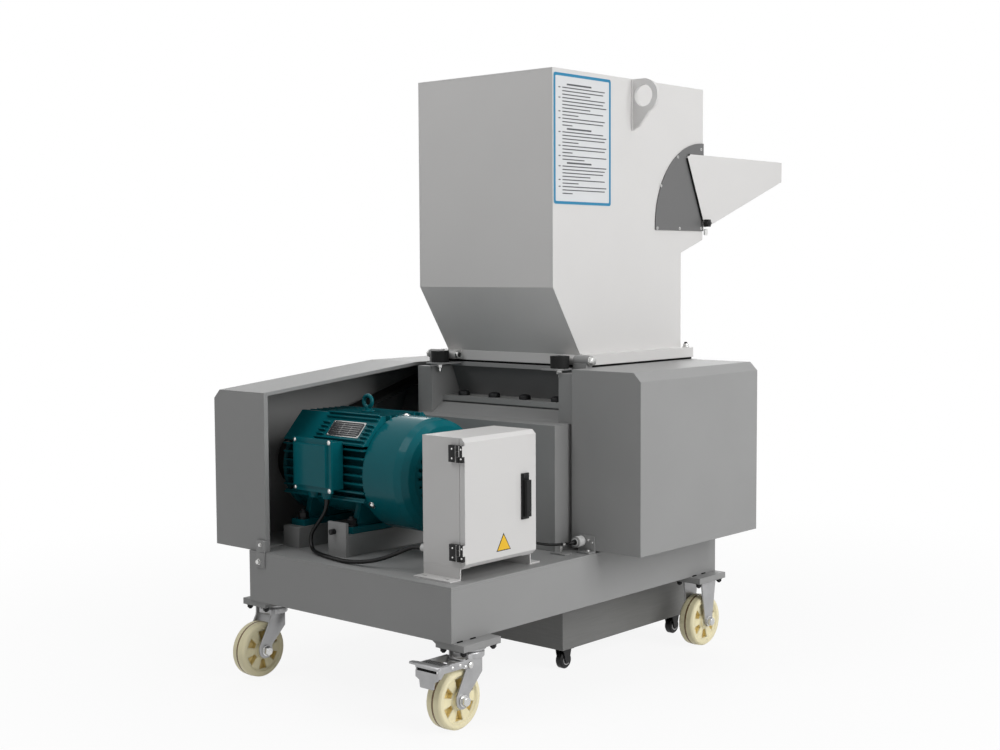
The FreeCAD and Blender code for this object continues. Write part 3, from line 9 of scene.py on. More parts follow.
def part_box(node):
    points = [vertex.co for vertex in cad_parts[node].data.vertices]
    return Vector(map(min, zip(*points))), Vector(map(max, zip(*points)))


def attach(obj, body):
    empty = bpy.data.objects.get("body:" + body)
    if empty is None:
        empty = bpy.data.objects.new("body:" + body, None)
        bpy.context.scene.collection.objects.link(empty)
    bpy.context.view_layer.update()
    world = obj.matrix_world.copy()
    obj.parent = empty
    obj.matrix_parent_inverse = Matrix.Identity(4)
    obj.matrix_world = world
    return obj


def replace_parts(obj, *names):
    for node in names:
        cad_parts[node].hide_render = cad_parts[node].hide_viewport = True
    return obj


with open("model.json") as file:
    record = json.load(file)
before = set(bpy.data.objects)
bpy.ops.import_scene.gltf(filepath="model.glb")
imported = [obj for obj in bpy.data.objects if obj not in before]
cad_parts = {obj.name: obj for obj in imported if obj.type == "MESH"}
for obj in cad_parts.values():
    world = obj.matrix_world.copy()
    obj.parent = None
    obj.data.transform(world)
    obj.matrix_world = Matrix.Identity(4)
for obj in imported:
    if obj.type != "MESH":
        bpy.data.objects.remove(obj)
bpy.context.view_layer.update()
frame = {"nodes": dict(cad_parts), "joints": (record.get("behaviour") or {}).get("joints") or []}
nodes = frame["nodes"]

# Places are metres in the frame of the part. +X is the flywheel side, +Y the feeding side.
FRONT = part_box("base_deck")[0].y
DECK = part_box("base_deck")[1].z
HOPPER_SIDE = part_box("hopper_side_panels")[1].x
QUADRANT_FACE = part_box("quadrant_plates")[1].x
JOINTS = {joint["name"]: joint for joint in frame["joints"]}


def behind(distance):
    """The Y of a point that lies this far behind the front face of the base."""
    return FRONT + distance


# Materials
COAT_ROUGHNESS = 0.12
LEAST_ROUGHNESS = 0.03
ROUGHNESS_SPREAD = 0.09  # how far the grain moves the roughness each way
GRAIN_DEPTH = 0.0004  # metres
WEAR_START, WEAR_FULL = 0.98, 0.8  # cosine between the rounded and the flat normal
WEAR_SHARE = 0.22  # how much of the rubbed colour shows on a fully worn edge
WEAR_GAIN, WEAR_LIFT = 1.5, 0.06  # what wear makes of a colour
POCKET_RADIUS, POCKET_HALF, SEAM_HALF = 0.047, 0.0135, 0.0023  # the wheels' coloured zones


def worked(tree, operation, first, second=0.0):
    """One sum on sockets or numbers inside a material."""
    node = tree.nodes.new("ShaderNodeMath")
    node.operation = operation
    for slot, entry in zip(node.inputs, (first, second)):
        if isinstance(entry, (int, float)):
            slot.default_value = entry
        else:
            tree.links.new(entry, slot)
    return node.outputs["Value"]


def mixed(tree, share, first, second):
    """A mix of two colours inside a material, each of them a socket or a plain colour."""
    node = tree.nodes.new("ShaderNodeMix")
    node.data_type = "RGBA"
    tree.links.new(share, node.inputs["Factor"])
    for slot, entry in (("A", first), ("B", second)):
        if isinstance(entry, tuple):
            node.inputs[slot].default_value = entry
        else:
            tree.links.new(entry, node.inputs[slot])
    return node.outputs["Result"]


def surface(
    name,
    colour,
    rough,
    metal=0.0,
    mottle=0.06,
    mottle_size=5.0,
    grain=0.0,
    grain_size=500.0,
    stretch=(1.0, 1.0, 1.0),
    edge=0.0,
    coat=0.0,
    shine=0.5,
):
    """A finish with slow colour drift, fine relief and, where asked, rounded and worn edges."""
    material = bpy.data.materials.new(name)
    material.use_nodes = True
    tree = material.node_tree
    shader = tree.nodes["Principled BSDF"]
    shader.inputs["Metallic"].default_value = metal
    shader.inputs["Coat Weight"].default_value = coat
    shader.inputs["Coat Roughness"].default_value = COAT_ROUGHNESS
    shader.inputs["Specular IOR Level"].default_value = shine
    place = tree.nodes.new("ShaderNodeTexCoord")
    mapping = tree.nodes.new("ShaderNodeMapping")
    mapping.inputs["Scale"].default_value = stretch
    tree.links.new(place.outputs["Object"], mapping.inputs["Vector"])

    drift = tree.nodes.new("ShaderNodeTexNoise")
    drift.inputs["Scale"].default_value = mottle_size
    drift.inputs["Detail"].default_value = 6.0
    tree.links.new(mapping.outputs["Vector"], drift.inputs["Vector"])
    deep = (*[c * (1 - mottle) for c in colour], 1)
    pale = (*[min(1, c * (1 + mottle)) for c in colour], 1)
    last = mixed(tree, drift.outputs["Fac"], deep, pale)

    fine = tree.nodes.new("ShaderNodeTexNoise")
    fine.inputs["Scale"].default_value = grain_size
    fine.inputs["Detail"].default_value = 3.0
    tree.links.new(mapping.outputs["Vector"], fine.inputs["Vector"])
    spread = tree.nodes.new("ShaderNodeMapRange")
    spread.inputs["To Min"].default_value = max(LEAST_ROUGHNESS, rough - ROUGHNESS_SPREAD)
    spread.inputs["To Max"].default_value = min(1.0, rough + ROUGHNESS_SPREAD)
    tree.links.new(fine.outputs["Fac"], spread.inputs["Value"])
    tree.links.new(spread.outputs["Result"], shader.inputs["Roughness"])

    bump = tree.nodes.new("ShaderNodeBump")
    bump.inputs["Strength"].default_value = grain
    bump.inputs["Distance"].default_value = GRAIN_DEPTH
    tree.links.new(fine.outputs["Fac"], bump.inputs["Height"])
    if edge:
        round_edge = tree.nodes.new("ShaderNodeBevel")
        round_edge.samples = 6
        round_edge.inputs["Radius"].default_value = edge
        tree.links.new(round_edge.outputs["Normal"], bump.inputs["Normal"])
        geometry = tree.nodes.new("ShaderNodeNewGeometry")
        bend = tree.nodes.new("ShaderNodeVectorMath")
        bend.operation = "DOT_PRODUCT"
        tree.links.new(round_edge.outputs["Normal"], bend.inputs[0])
        tree.links.new(geometry.outputs["Normal"], bend.inputs[1])
        worn = tree.nodes.new("ShaderNodeMapRange")
        worn.inputs["From Min"].default_value = WEAR_START
        worn.inputs["From Max"].default_value = WEAR_FULL
        worn.inputs["To Max"].default_value = WEAR_SHARE
        tree.links.new(bend.outputs["Value"], worn.inputs["Value"])
        rubbed = (*[min(1, c * WEAR_GAIN + WEAR_LIFT) for c in colour], 1)
        last = mixed(tree, worn.outputs["Result"], last, rubbed)
    tree.links.new(last, shader.inputs["Base Color"])
    tree.links.new(bump.outputs["Normal"], shader.inputs["Normal"])
    return material


def wheel_finish(name, joint):
    """Nylon with a dark seam round the tread and painted shade, deeper yellow, in the pockets."""
    material = surface(
        name, (0.9, 0.82, 0.54), 0.45, mottle=0.1, mottle_size=24, grain=0.3, grain_size=300,
        edge=0.006
    )
    tree = material.node_tree
    shader = tree.nodes["Principled BSDF"]
    centre = JOINTS[joint]["pos_m"]
    split = tree.nodes.new("ShaderNodeSeparateXYZ")
    tree.links.new(tree.nodes["Texture Coordinate"].outputs["Object"], split.inputs["Vector"])
    off = worked(tree, "SUBTRACT", worked(tree, "ABSOLUTE", split.outputs["X"]), abs(centre[0]))
    depth = worked(tree, "ABSOLUTE", off)
    along = worked(tree, "SUBTRACT", split.outputs["Y"], centre[1])
    above = worked(tree, "SUBTRACT", split.outputs["Z"], centre[2])
    square = worked(tree, "ADD", worked(tree, "POWER", along, 2), worked(tree, "POWER", above, 2))
    inner = worked(tree, "LESS_THAN", square, POCKET_RADIUS**2)
    pocket_shade = worked(tree, "MULTIPLY", worked(tree, "LESS_THAN", depth, POCKET_HALF), inner)
    middle = worked(tree, "LESS_THAN", depth, SEAM_HALF)
    seam = worked(tree, "MULTIPLY", middle, worked(tree, "SUBTRACT", 1.0, inner))
    last = shader.inputs["Base Color"].links[0].from_socket
    # The pocket colour is painted shade, darker and deeper yellow in the recessed pockets; the
    # seam colour is the tread's own dark joint.
    for share, colour in ((pocket_shade, (0.85, 0.7, 0.32, 1)), (seam, (0.17, 0.095, 0.035, 1))):
        last = mixed(tree, share, last, colour)
    tree.links.new(last, shader.inputs["Base Color"])
    return material


BASE_PAINT = surface(
    "base_paint", (0.305, 0.305, 0.303), 0.46, grain=0.22, grain_size=700, edge=0.002,
    shine=0.25
)
# Painted shade: a darker copy of the base paint for the chamber's end walls, which the hopper
# flange shades.
PAINTED_SHADE_GREY = surface(
    "dark_paint", (0.15, 0.15, 0.15), 0.5, grain=0.22, grain_size=700, edge=0.001, shine=0.2
)
WHITE_PAINT = surface(
    "white_paint", (0.67, 0.66, 0.65), 0.4, mottle=0.03, grain=0.18, grain_size=800, edge=0.002
)
CABINET_PAINT = surface(
    "cabinet_paint", (0.66, 0.65, 0.64), 0.45, mottle=0.02, grain=0.3, grain_size=900, edge=0.0015
)
QUADRANT_PAINT = surface("quadrant_paint", (0.122, 0.122, 0.122), 0.4, grain=0.2, edge=0.0008)
MOTOR_PAINT = surface(
    "motor_paint", (0.003, 0.125, 0.15), 0.2, mottle=0.16, mottle_size=9, grain=0.3,
    grain_size=160, edge=0.002, coat=0.14, shine=0.05
)
NAMEPLATE = surface("nameplate", (0.025, 0.025, 0.028), 0.35, metal=0.3, grain=0.1)
ZINC = surface(
    "zinc", (0.4, 0.4, 0.405), 0.33, metal=0.6, mottle=0.25, mottle_size=30, grain=0.25,
    edge=0.0008
)
BOLT = surface(
    "bolt_zinc", (0.6, 0.6, 0.59), 0.26, metal=1.0, mottle=0.1, mottle_size=60, grain=0.1
)
BLACK_STEEL = surface(
    "black_steel", (0.012, 0.012, 0.013), 0.4, mottle=0.2, grain=0.2, edge=0.0006, shine=0.2
)
STEEL = surface(
    "bright_steel", (0.42, 0.42, 0.42), 0.32, metal=1.0, mottle=0.12, mottle_size=25, grain=0.25
)
CUTTER = surface(
    "cutter_steel", (0.34, 0.34, 0.335), 0.4, metal=0.2, mottle=0.15, grain=0.2, edge=0.0006
)
BRUSHED = surface(
    "brushed_sheet", (0.185, 0.185, 0.18), 0.42, metal=0.1, mottle=0.12, mottle_size=16,
    grain=0.35, grain_size=90, stretch=(1.0, 1.0, 14.0), edge=0.0012, shine=0.3
)
BLACK_PLASTIC = surface(
    "black_plastic", (0.01, 0.01, 0.0105), 0.42, mottle=0.15, grain=0.3, edge=0.0008, shine=0.25
)
BUFFER = surface(
    "buffer_rubber", (0.01, 0.01, 0.01), 0.62, mottle=0.25, mottle_size=40, grain=0.5,
    grain_size=260, edge=0.001, shine=0.2
)
BELT = surface("belt_rubber", (0.012, 0.012, 0.012), 0.7, mottle=0.25, grain=0.5, shine=0.2)
GASKET = surface("gasket", (0.008, 0.008, 0.008), 0.8, mottle=0.2, grain=0.5, shine=0.1)
JACKET = surface(
    "cable_jacket", (0.006, 0.006, 0.006), 0.3, mottle=0.2, mottle_size=60, grain=0.2, shine=0.25
)
PALE_PLASTIC = surface(
    "pale_plastic", (0.7, 0.7, 0.69), 0.42, mottle=0.04, grain=0.2, edge=0.0006
)
LABEL_PAPER = surface("label_paper", (0.68, 0.69, 0.7), 0.35, mottle=0.02, grain=0.05)
LABEL_EDGE = surface("label_edge", (0.007, 0.205, 0.376), 0.35, mottle=0.05, grain=0.05)
LABEL_RULE = surface("label_rule", (0.07, 0.075, 0.08), 0.4, mottle=0.05)
YELLOW = surface("yellow_sign", (0.85, 0.5, 0.01), 0.4, mottle=0.03)
WELD = surface(
    "weld_paint", (0.66, 0.65, 0.64), 0.45, mottle=0.06, mottle_size=80, grain=0.6, grain_size=250
)
FRONT_NYLON = wheel_finish("front_nylon", "front_right_wheel_spin")
REAR_NYLON = wheel_finish("rear_nylon", "rear_right_wheel_spin")

FINISH = {
    BASE_PAINT: (
        "base_deck base_end_skirts base_side_skirts caster_plates lower_housing "
        "chamber_side_plates chamber_rim rim_brackets flywheel_cover guard_outer_sheet "
        "guard_edge_sheets guard_top_sheets bearing_housings motor_rails limit_switch"
    ),
    # the chamber's end walls take the darker copy of the base paint as painted shade
    PAINTED_SHADE_GREY: "chamber_end_walls",
    WHITE_PAINT: (
        "hopper_side_panels hopper_front_sheet hopper_roof_sheet hopper_rear_sheet hopper_flange "
        "lifting_lugs tray_cheeks tray_floor"
    ),
    CABINET_PAINT: "cabinet_shell cabinet_top_bottom cabinet_door cabinet_brackets",
    QUADRANT_PAINT: "quadrant_plates",
    MOTOR_PAINT: "motor_frame motor_end_shield fan_cowl terminal_box eyebolt",
    ZINC: "left_swivel_fork right_swivel_fork rear_caster_forks brake_pedal",
    FRONT_NYLON: "front_left_wheel front_right_wheel",
    REAR_NYLON: "rear_left_wheel rear_right_wheel",
    BRUSHED: "bin_floor_and_ends bin_sides",
    STEEL: "bin_handle rotor_shaft_and_pulley motor_shaft",
    CUTTER: "fixed_knives screen rotor_claws",
    BLACK_PLASTIC: "bin_casters bin_front_wheels bin_rear_wheels door_handle",
    PALE_PLASTIC: "cable_glands",
    BELT: "belts",
    BUFFER: "rubber_buffers",
    GASKET: "hopper_gasket",
}
for finish, names in FINISH.items():
    for name in names.split():
        nodes[name].data.materials.clear()
        nodes[name].data.materials.append(finish)


# Mesh helpers
SMOOTH_BELOW = math.radians(35)  # edges flatter than this are shaded round
BEVEL_ABOVE = math.radians(25)  # edges sharper than this get the bevel


def piece(name, bm, body, material, bevel=0.0):
    """Turns a bmesh into an object that rides on a body."""
    bmesh.ops.remove_doubles(bm, verts=bm.verts, dist=1e-6)
    bmesh.ops.recalc_face_normals(bm, faces=bm.faces)
    if bevel:
        folds = [edge for edge in bm.edges if len(edge.link_faces) == 2]
        sharp = [edge for edge in folds if edge.calc_face_angle() > BEVEL_ABOVE]
        bmesh.ops.bevel(
            bm, geom=sharp, offset=bevel, segments=2, profile=0.5, affect="EDGES",
            clamp_overlap=True
        )
    mesh = bpy.data.meshes.new(name)
    for face in bm.faces:
        face.smooth = True
    bm.to_mesh(mesh)
    bm.free()
    mesh.set_sharp_from_angle(angle=SMOOTH_BELOW)
    mesh.materials.append(material)
    obj = bpy.data.objects.new(name, mesh)
    bpy.context.scene.collection.objects.link(obj)
    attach(obj, body)
    return obj


def facing(normal, origin, spin=0.0):
    """A matrix that turns local +Z to a direction and moves to a point."""
    turn = Vector(normal).to_track_quat("Z", "Y").to_matrix().to_4x4()
    return Matrix.Translation(Vector(origin)) @ turn @ Matrix.Rotation(spin, 4, "Z")


def add_box(bm, low, high, matrix=None):
    """A box between two corners."""
    low = Vector(low)
    high = Vector(high)
    middle = Matrix.Translation((low + high) / 2) @ Matrix.Diagonal((*(high - low), 1))
    bmesh.ops.create_cube(bm, size=1, matrix=(matrix or Matrix()) @ middle)


def circle(radius, steps):
    """Points on a circle about the origin. Six of them make a nut."""
    angles = [2 * math.pi * at / steps for at in range(steps)]
    return [(radius * math.cos(angle), radius * math.sin(angle)) for angle in angles]


def add_ring(bm, matrix, radius, steps):
    """Corners on a circle across local Z."""
    return [bm.verts.new(matrix @ Vector((u, v, 0))) for u, v in circle(radius, steps)]


def add_bands(bm, rings):
    """Faces between each ring of corners and the next."""
    for first, second in zip(rings, rings[1:]):
        for at in range(len(first)):
            after = (at + 1) % len(first)
            bm.faces.new((first[at], first[after], second[after], second[at]))


def add_hose(bm, rings):
    """A skin over rings of corners, closed at both ends."""
    add_bands(bm, rings)
    bm.faces.new(rings[0][::-1])
    bm.faces.new(rings[-1])


def add_prism(bm, outline, depth, matrix):
    """An outline of (u, v) points raised along local +Z."""
    low = [bm.verts.new(matrix @ Vector((u, v, 0))) for u, v in outline]
    high = [bm.verts.new(matrix @ Vector((u, v, depth))) for u, v in outline]
    bm.faces.new(low[::-1])
    bm.faces.new(high)
    add_bands(bm, [low, high])


def add_lathe(bm, profile, matrix, steps=24):
    """A profile of (radius, height) pairs turned about local Z. Closed where a radius is 0."""
    rings = []
    for radius, height in profile:
        spots = circle(radius, steps) if radius else [(0, 0)]
        rings.append([bm.verts.new(matrix @ Vector((u, v, height))) for u, v in spots])
    for first, second in zip(rings, rings[1:]):
        for at in range(steps):
            after = (at + 1) % steps
            corners = [first[at % len(first)], first[after % len(first)]]
            corners += [second[after % len(second)], second[at % len(second)]]
            unique = list(dict.fromkeys(corners))
            if len(unique) > 2:
                bm.faces.new(unique)


def add_disc(bm, matrix, radius, high, low=0.0, steps=24):
    """A plain disc or rod between two heights."""
    add_lathe(bm, [(0, low), (radius, low), (radius, high), (0, high)], matrix, steps)


def add_stud(bm, matrix, radius, tip, high, low=0.0, steps=14):
    """A stud whose last millimetre narrows to the radius of its tip."""
    neck = high - 0.001
    add_lathe(bm, [(0, low), (radius, low), (radius, neck), (tip, high), (0, high)], matrix, steps)


def add_hex_bolt(bm, at, normal, across, high, washer=True, spin=0.2):
    """A hexagon head with a chamfered top on a washer."""
    matrix = facing(normal, at, spin)
    seat = 0.0
    if washer:
        seat = high * 0.28
        add_disc(bm, matrix, across * 0.68, seat)
    flank, chamfer = high * 0.86, high * 0.14
    corner = across / 2 / math.cos(math.pi / 6)
    add_prism(bm, circle(corner, 6), flank, matrix @ Matrix.Translation((0, 0, seat)))
    top = seat + flank
    crown = [(across * 0.5, top), (across * 0.46, top + chamfer), (0, top + chamfer)]
    add_lathe(bm, [(0, top), *crown], matrix)


def add_pan_screw(bm, at, normal, radius):
    """A domed screw head."""
    rise = radius * 0.55
    dome = [(radius * math.cos(a), rise * math.sin(a)) for a in (0, 0.4, 0.8, 1.2)]
    add_lathe(bm, [(0, 0), *dome, (0, rise)], facing(normal, at), 20)


def add_tube(bm, path, radius, steps=8):
    """A round tube through points, closed at its ends."""
    rings = []
    for at, point in enumerate(path):
        before = path[max(0, at - 1)]
        after = path[min(len(path) - 1, at + 1)]
        rings.append(add_ring(bm, facing(Vector(after) - Vector(before), point), radius, steps))
    add_hose(bm, rings)


# Hopper and feed tray
def outward(side, x):
    """Turns (u, v, w) into (w along X on that side, u along Y, v along Z)."""
    return Matrix(((0, 0, side, x), (1, 0, 0, 0), (0, 1, 0, 0), (0, 0, 0, 1)))


def rounded(low, high, radius, inset=0.0, steps=6):
    """The outline of a rectangle with round corners."""
    points = []
    corners = ((high[0], low[1]), high, (low[0], high[1]), low)
    for (u, v), start in zip(corners, (-90, 0, 90, 180)):
        u += -inset - radius if u == high[0] else inset + radius
        v += inset + radius if v == low[1] else -inset - radius
        for at in range(steps + 1):
            angle = math.radians(start + 90 * at / steps)
            points.append((u + radius * math.cos(angle), v + radius * math.sin(angle)))
    return points


def add_frame(bm, outer, inner, low, high, matrix):
    """A flat band between two outlines of equal count."""
    rings = []
    for outline, lift in ((outer, low), (outer, high), (inner, high), (inner, low)):
        rings.append([bm.verts.new(matrix @ Vector((u, v, lift))) for u, v in outline])
    add_bands(bm, rings + rings[:1])


def dress_label():
    """An instruction plate without its words: paper, a coloured frame and plain rules."""
    low, high = (behind(0.4565), 1.072), (behind(0.6687), 1.366)
    thin = 0.0006
    upright = outward(1, HOPPER_SIDE)
    paper = bmesh.new()
    add_prism(paper, rounded(low, high, 0.007), thin, upright)
    piece("label_paper", paper, "hopper", LABEL_PAPER)
    band = bmesh.new()
    outer = rounded(low, high, 0.006, 0.0008)
    inner = rounded(low, high, 0.003, 0.0073)
    add_frame(band, outer, inner, thin * 0.5, thin * 1.5, upright)
    piece("label_frame", band, "hopper", LABEL_EDGE)

    rules = bmesh.new()
    # T is a heading, B a line with a bullet, L a full line and S a short one
    rows = "TBLSBLLSBSBLSTBLLSBLSBSTBLLSBSBLS"
    margin, bullet = 0.018, 0.007
    left, right = low[0] + margin, high[0] - margin
    first = high[1] - 0.025
    pitch = (high[1] - low[1] - 0.05) / (len(rows) - 1)
    near, far = HOPPER_SIDE + thin, HOPPER_SIDE + 1.3 * thin
    for at, kind in enumerate(rows):
        z = first - pitch * at
        start = left + (0.03 if kind == "T" else 0.014)
        ends = {"T": left + 0.12, "S": left + 0.05 + 0.022 * (at % 4)}
        end = ends.get(kind, right - 0.006 * (at % 3))
        half = 0.0019 if kind == "T" else 0.0012
        add_box(rules, (near, start, z - half), (far, end, z + half))
        if kind == "B":
            add_box(rules, (near, left, z - half), (far, left + bullet, z + half))
    piece("label_rules", rules, "hopper", LABEL_RULE)


def dress_hopper():
    """The label, the quadrants' screws, weld beads, and the nuts and studs of the rear flange."""
    dress_label()
    screws = bmesh.new()
    spots = (
        (1.043, 1.225), (0.9405, 1.201), (0.869, 1.1275),
        (0.854, 1.0245), (0.949, 1.025), (1.044, 1.027),
    )
    head = [(0, 0), (0.0038, 0), (0.0036, 0.0003), (0.0017, 0.0003), (0.0014, -0.0004)]
    for side in (1, -1):
        for y, z in spots:
            place = facing((side, 0, 0), (side * QUADRANT_FACE, behind(y), z))
            add_lathe(screws, [*head, (0, -0.0004)], place, 20)
    piece("quadrant_screws", screws, "hopper", BOLT)

    beads = bmesh.new()
    low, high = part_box("lifting_lugs")
    foot = low.z + 0.001
    lug_weld = 0.119
    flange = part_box("hopper_flange")[1]
    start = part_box("hopper_side_panels")[0].y + 0.102
    end = behind(0.955)
    for side in (1, -1):
        x = side * (HOPPER_SIDE + 0.0008)
        for y in (low.y, high.y):
            add_tube(beads, [(x, y, foot + lug_weld * k / 12) for k in range(13)], 0.0028)
        x = side * (HOPPER_SIDE + 0.001)
        path = []
        for k in range(41):
            y = start + (end - start) * k / 40
            path.append((x, y, flange.z + 0.0004 * math.sin(2.4 * k)))
        add_tube(beads, path, 0.0022)
    piece("hopper_welds", beads, "hopper", WELD)

    nuts = bmesh.new()
    studs = bmesh.new()
    for side in (1, -1):
        spot = (side * 0.221, flange.y - 0.013, flange.z)
        add_hex_bolt(nuts, spot, (0, 0, 1), 0.0135, 0.0075)
        add_stud(studs, Matrix.Translation(spot), 0.004, 0.0032, 0.0135, 0.007, 20)
    piece("rear_clamp_nuts", nuts, "hopper", BOLT, bevel=0.0004)
    piece("rear_clamp_studs", studs, "hopper", BLACK_STEEL)


def dress_tray():
    """Rubber edging and painted gap shadow on the cheeks, star knobs at the pivot and the small
    stops below them.
    """
    _, y, z = JOINTS["feed_tray_fold"]["pos_m"]
    outer = QUADRANT_FACE + 0.0027
    low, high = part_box("tray_cheeks")
    # The dark strip along each cheek is partly a rubber edge and partly painted shadow of the gap
    # between cheek and quadrant.
    edging_and_gap_shadow = bmesh.new()
    for side in (1, -1):
        start = Vector((side * outer, y - 0.0105, z - 0.006))
        middle = Vector((side * outer, low.y + 0.0002, high.z - 0.0105))
        end = Vector((side * outer, low.y + 0.0105, high.z - 0.0005))
        add_tube(edging_and_gap_shadow, [start, middle, end], 0.0021)
    piece("cheek_edging", edging_and_gap_shadow, "feed_tray", GASKET)
    star = []
    for at in range(48):
        angle = 2 * math.pi * at / 48
        radius = 0.0092 + 0.0013 * math.cos(6 * angle)
        star.append((radius * math.cos(angle), radius * math.sin(angle)))
    seat, tall = 0.0022, 0.0125
    knobs = bmesh.new()
    seats = bmesh.new()
    for side in (1, -1):
        base = facing((side, 0, 0), (side * (outer + 0.0013), y - 0.008, z))
        add_disc(seats, base, 0.0105, seat)
        matrix = base @ Matrix.Translation((0, 0, seat))
        add_prism(knobs, star, tall, matrix)
        add_lathe(knobs, [(0, tall), (0.005, tall), (0.0045, 0.0145), (0, 0.0145)], matrix, 20)
    piece("tray_knob_seats", seats, "feed_tray", BOLT)
    piece("tray_knob_caps", knobs, "feed_tray", BLACK_PLASTIC, bevel=0.0008)
    stops = bmesh.new()
    for side in (1, -1):
        outline = rounded((y - 0.0065, z - 0.0305), (y + 0.0065, z - 0.0145), 0.003, steps=4)
        add_prism(stops, outline, 0.0035, outward(side, side * QUADRANT_FACE))
    piece("tray_stops", stops, "hopper", PALE_PLASTIC)


# Machine housing
def dress_guard():
    """The foot tab of the belt guard and its screws."""
    left, right, face = -0.288, -0.259, FRONT - 0.003
    step = 0.292
    tab = bmesh.new()
    add_box(tab, (left, face, 0.2566), (right, FRONT, step))
    add_box(tab, (left, face, step), (right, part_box("guard_edge_sheets")[0].y, 0.3186))
    piece("guard_tab", tab, "machine", BASE_PAINT, bevel=0.0008)
    bolts = bmesh.new()
    add_hex_bolt(bolts, (-0.278, face, 0.270), (0, -1, 0), 0.010, 0.005)
    add_hex_bolt(bolts, (-0.272, face, 0.309), (0, -1, 0), 0.007, 0.0035)
    piece("guard_screws", bolts, "machine", BOLT)


def dress_chamber():
    """Black clamp bolts of the knives and the nuts under the rubber buffers."""
    clamp_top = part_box("fixed_knives")[1].z
    bolts = bmesh.new()
    dome = [(0.0142, 0), (0.0142, 0.0065), (0.0128, 0.0098), (0.0095, 0.0118), (0.006, 0.0122)]
    for x in (-0.147, -0.048, 0.049, 0.147):
        matrix = Matrix.Translation((x, behind(0.543), clamp_top))
        add_lathe(bolts, [(0, 0), *dome, (0.006, 0.007), (0, 0.007)], matrix, 28)
    piece("clamp_bolts", bolts, "machine", BLACK_STEEL)

    fixings = bmesh.new()
    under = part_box("rubber_buffers")[0].z - 0.004
    for x in (-0.189, 0.189):
        spot = (x, behind(0.502), under)
        add_hex_bolt(fixings, spot, (0, 0, -1), 0.013, 0.008)
        add_stud(fixings, facing((0, 0, -1), spot), 0.004, 0.003, 0.019)
    piece("buffer_nuts", fixings, "machine", BOLT)


def dress_hinges():
    """A nut on the outer end and a retaining ring on the inner end of each hopper hinge."""
    y, z = JOINTS["hopper_tip"]["pos_m"][1:]
    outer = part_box("rim_brackets")[1].x
    washer, nut_top = 0.0012, 0.0082
    metal = bmesh.new()
    dark = bmesh.new()
    for side in (1, -1):
        matrix = facing((side, 0, 0), (side * outer, y, z), 0.3)
        add_disc(metal, matrix, 0.0112, washer, steps=28)
        nut = matrix @ Matrix.Translation((0, 0, washer))
        add_prism(metal, circle(0.0102, 6), nut_top - washer, nut)
        crown = [(0.0085, nut_top), (0.0075, 0.0092)]
        add_lathe(metal, [(0, nut_top), *crown, (0, 0.0092)], matrix, 28)
        inner = facing((-side, 0, 0), (side * 0.1627, y, z))
        ring = [(0.0102, 0), (0.0102, 0.0062), (0.0094, 0.0072), (0.0062, 0.0072), (0.0062, 0.002)]
        add_lathe(metal, [(0, 0), *ring, (0, 0.002)], inner, 28)
        add_disc(dark, inner, 0.006, 0.0032, 0.0021)
    piece("hinge_nuts", metal, "machine", BOLT, bevel=0.0003)
    piece("hinge_pin_ends", dark, "machine", BLACK_STEEL)


def dress_motor():
    """Foot bolts, tension bolt, cowl screws, ribs over the slope and the bare rating plate."""
    axis_y, axis_z = JOINTS["motor_shaft_spin"]["pos_m"][1:]
    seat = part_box("motor_rails")[0].z + 0.062
    half_span = 0.113
    feet = bmesh.new()
    stud = [(0, 0), (0.0065, 0), (0.0065, 0.019), (0.0045, 0.022), (0, 0.0225)]
    for x in (-0.2675, -0.1045):
        for y in (axis_y - half_span, axis_y + half_span):
            add_hex_bolt(feet, (x, y, seat), (0, 0, 1), 0.021, 0.013, spin=x * 9)
            add_lathe(feet, stud, Matrix.Translation((x, y, seat)), 18)
    plate = behind(0.077)
    x, z = -0.1125, 0.347
    add_stud(feet, facing((0, -1, 0), (x, plate, z)), 0.0062, 0.005, 0.0135, steps=18)
    for y, way in ((plate + 0.008, 1), (plate + 0.0275, -1)):
        add_hex_bolt(feet, (x, y, z), (0, way, 0), 0.015, 0.007, washer=False)
    piece("motor_bolts", feet, "machine", BLACK_STEEL)

    screws = bmesh.new()
    lift = 0.001
    for degrees in (90, 210, 330):
        angle = math.radians(degrees)
        way = Vector((0, math.cos(angle), math.sin(angle)))
        spot = Vector((-0.040, axis_y, axis_z)) + way * 0.1281
        add_lathe(screws, [(0, 0), (0.009, 0), (0.0088, lift), (0, lift)], facing(way, spot), 20)
        add_pan_screw(screws, spot + way * lift, way, 0.0056)
    piece("cowl_screws", screws, "machine", BOLT)
    dress_motor_slope()


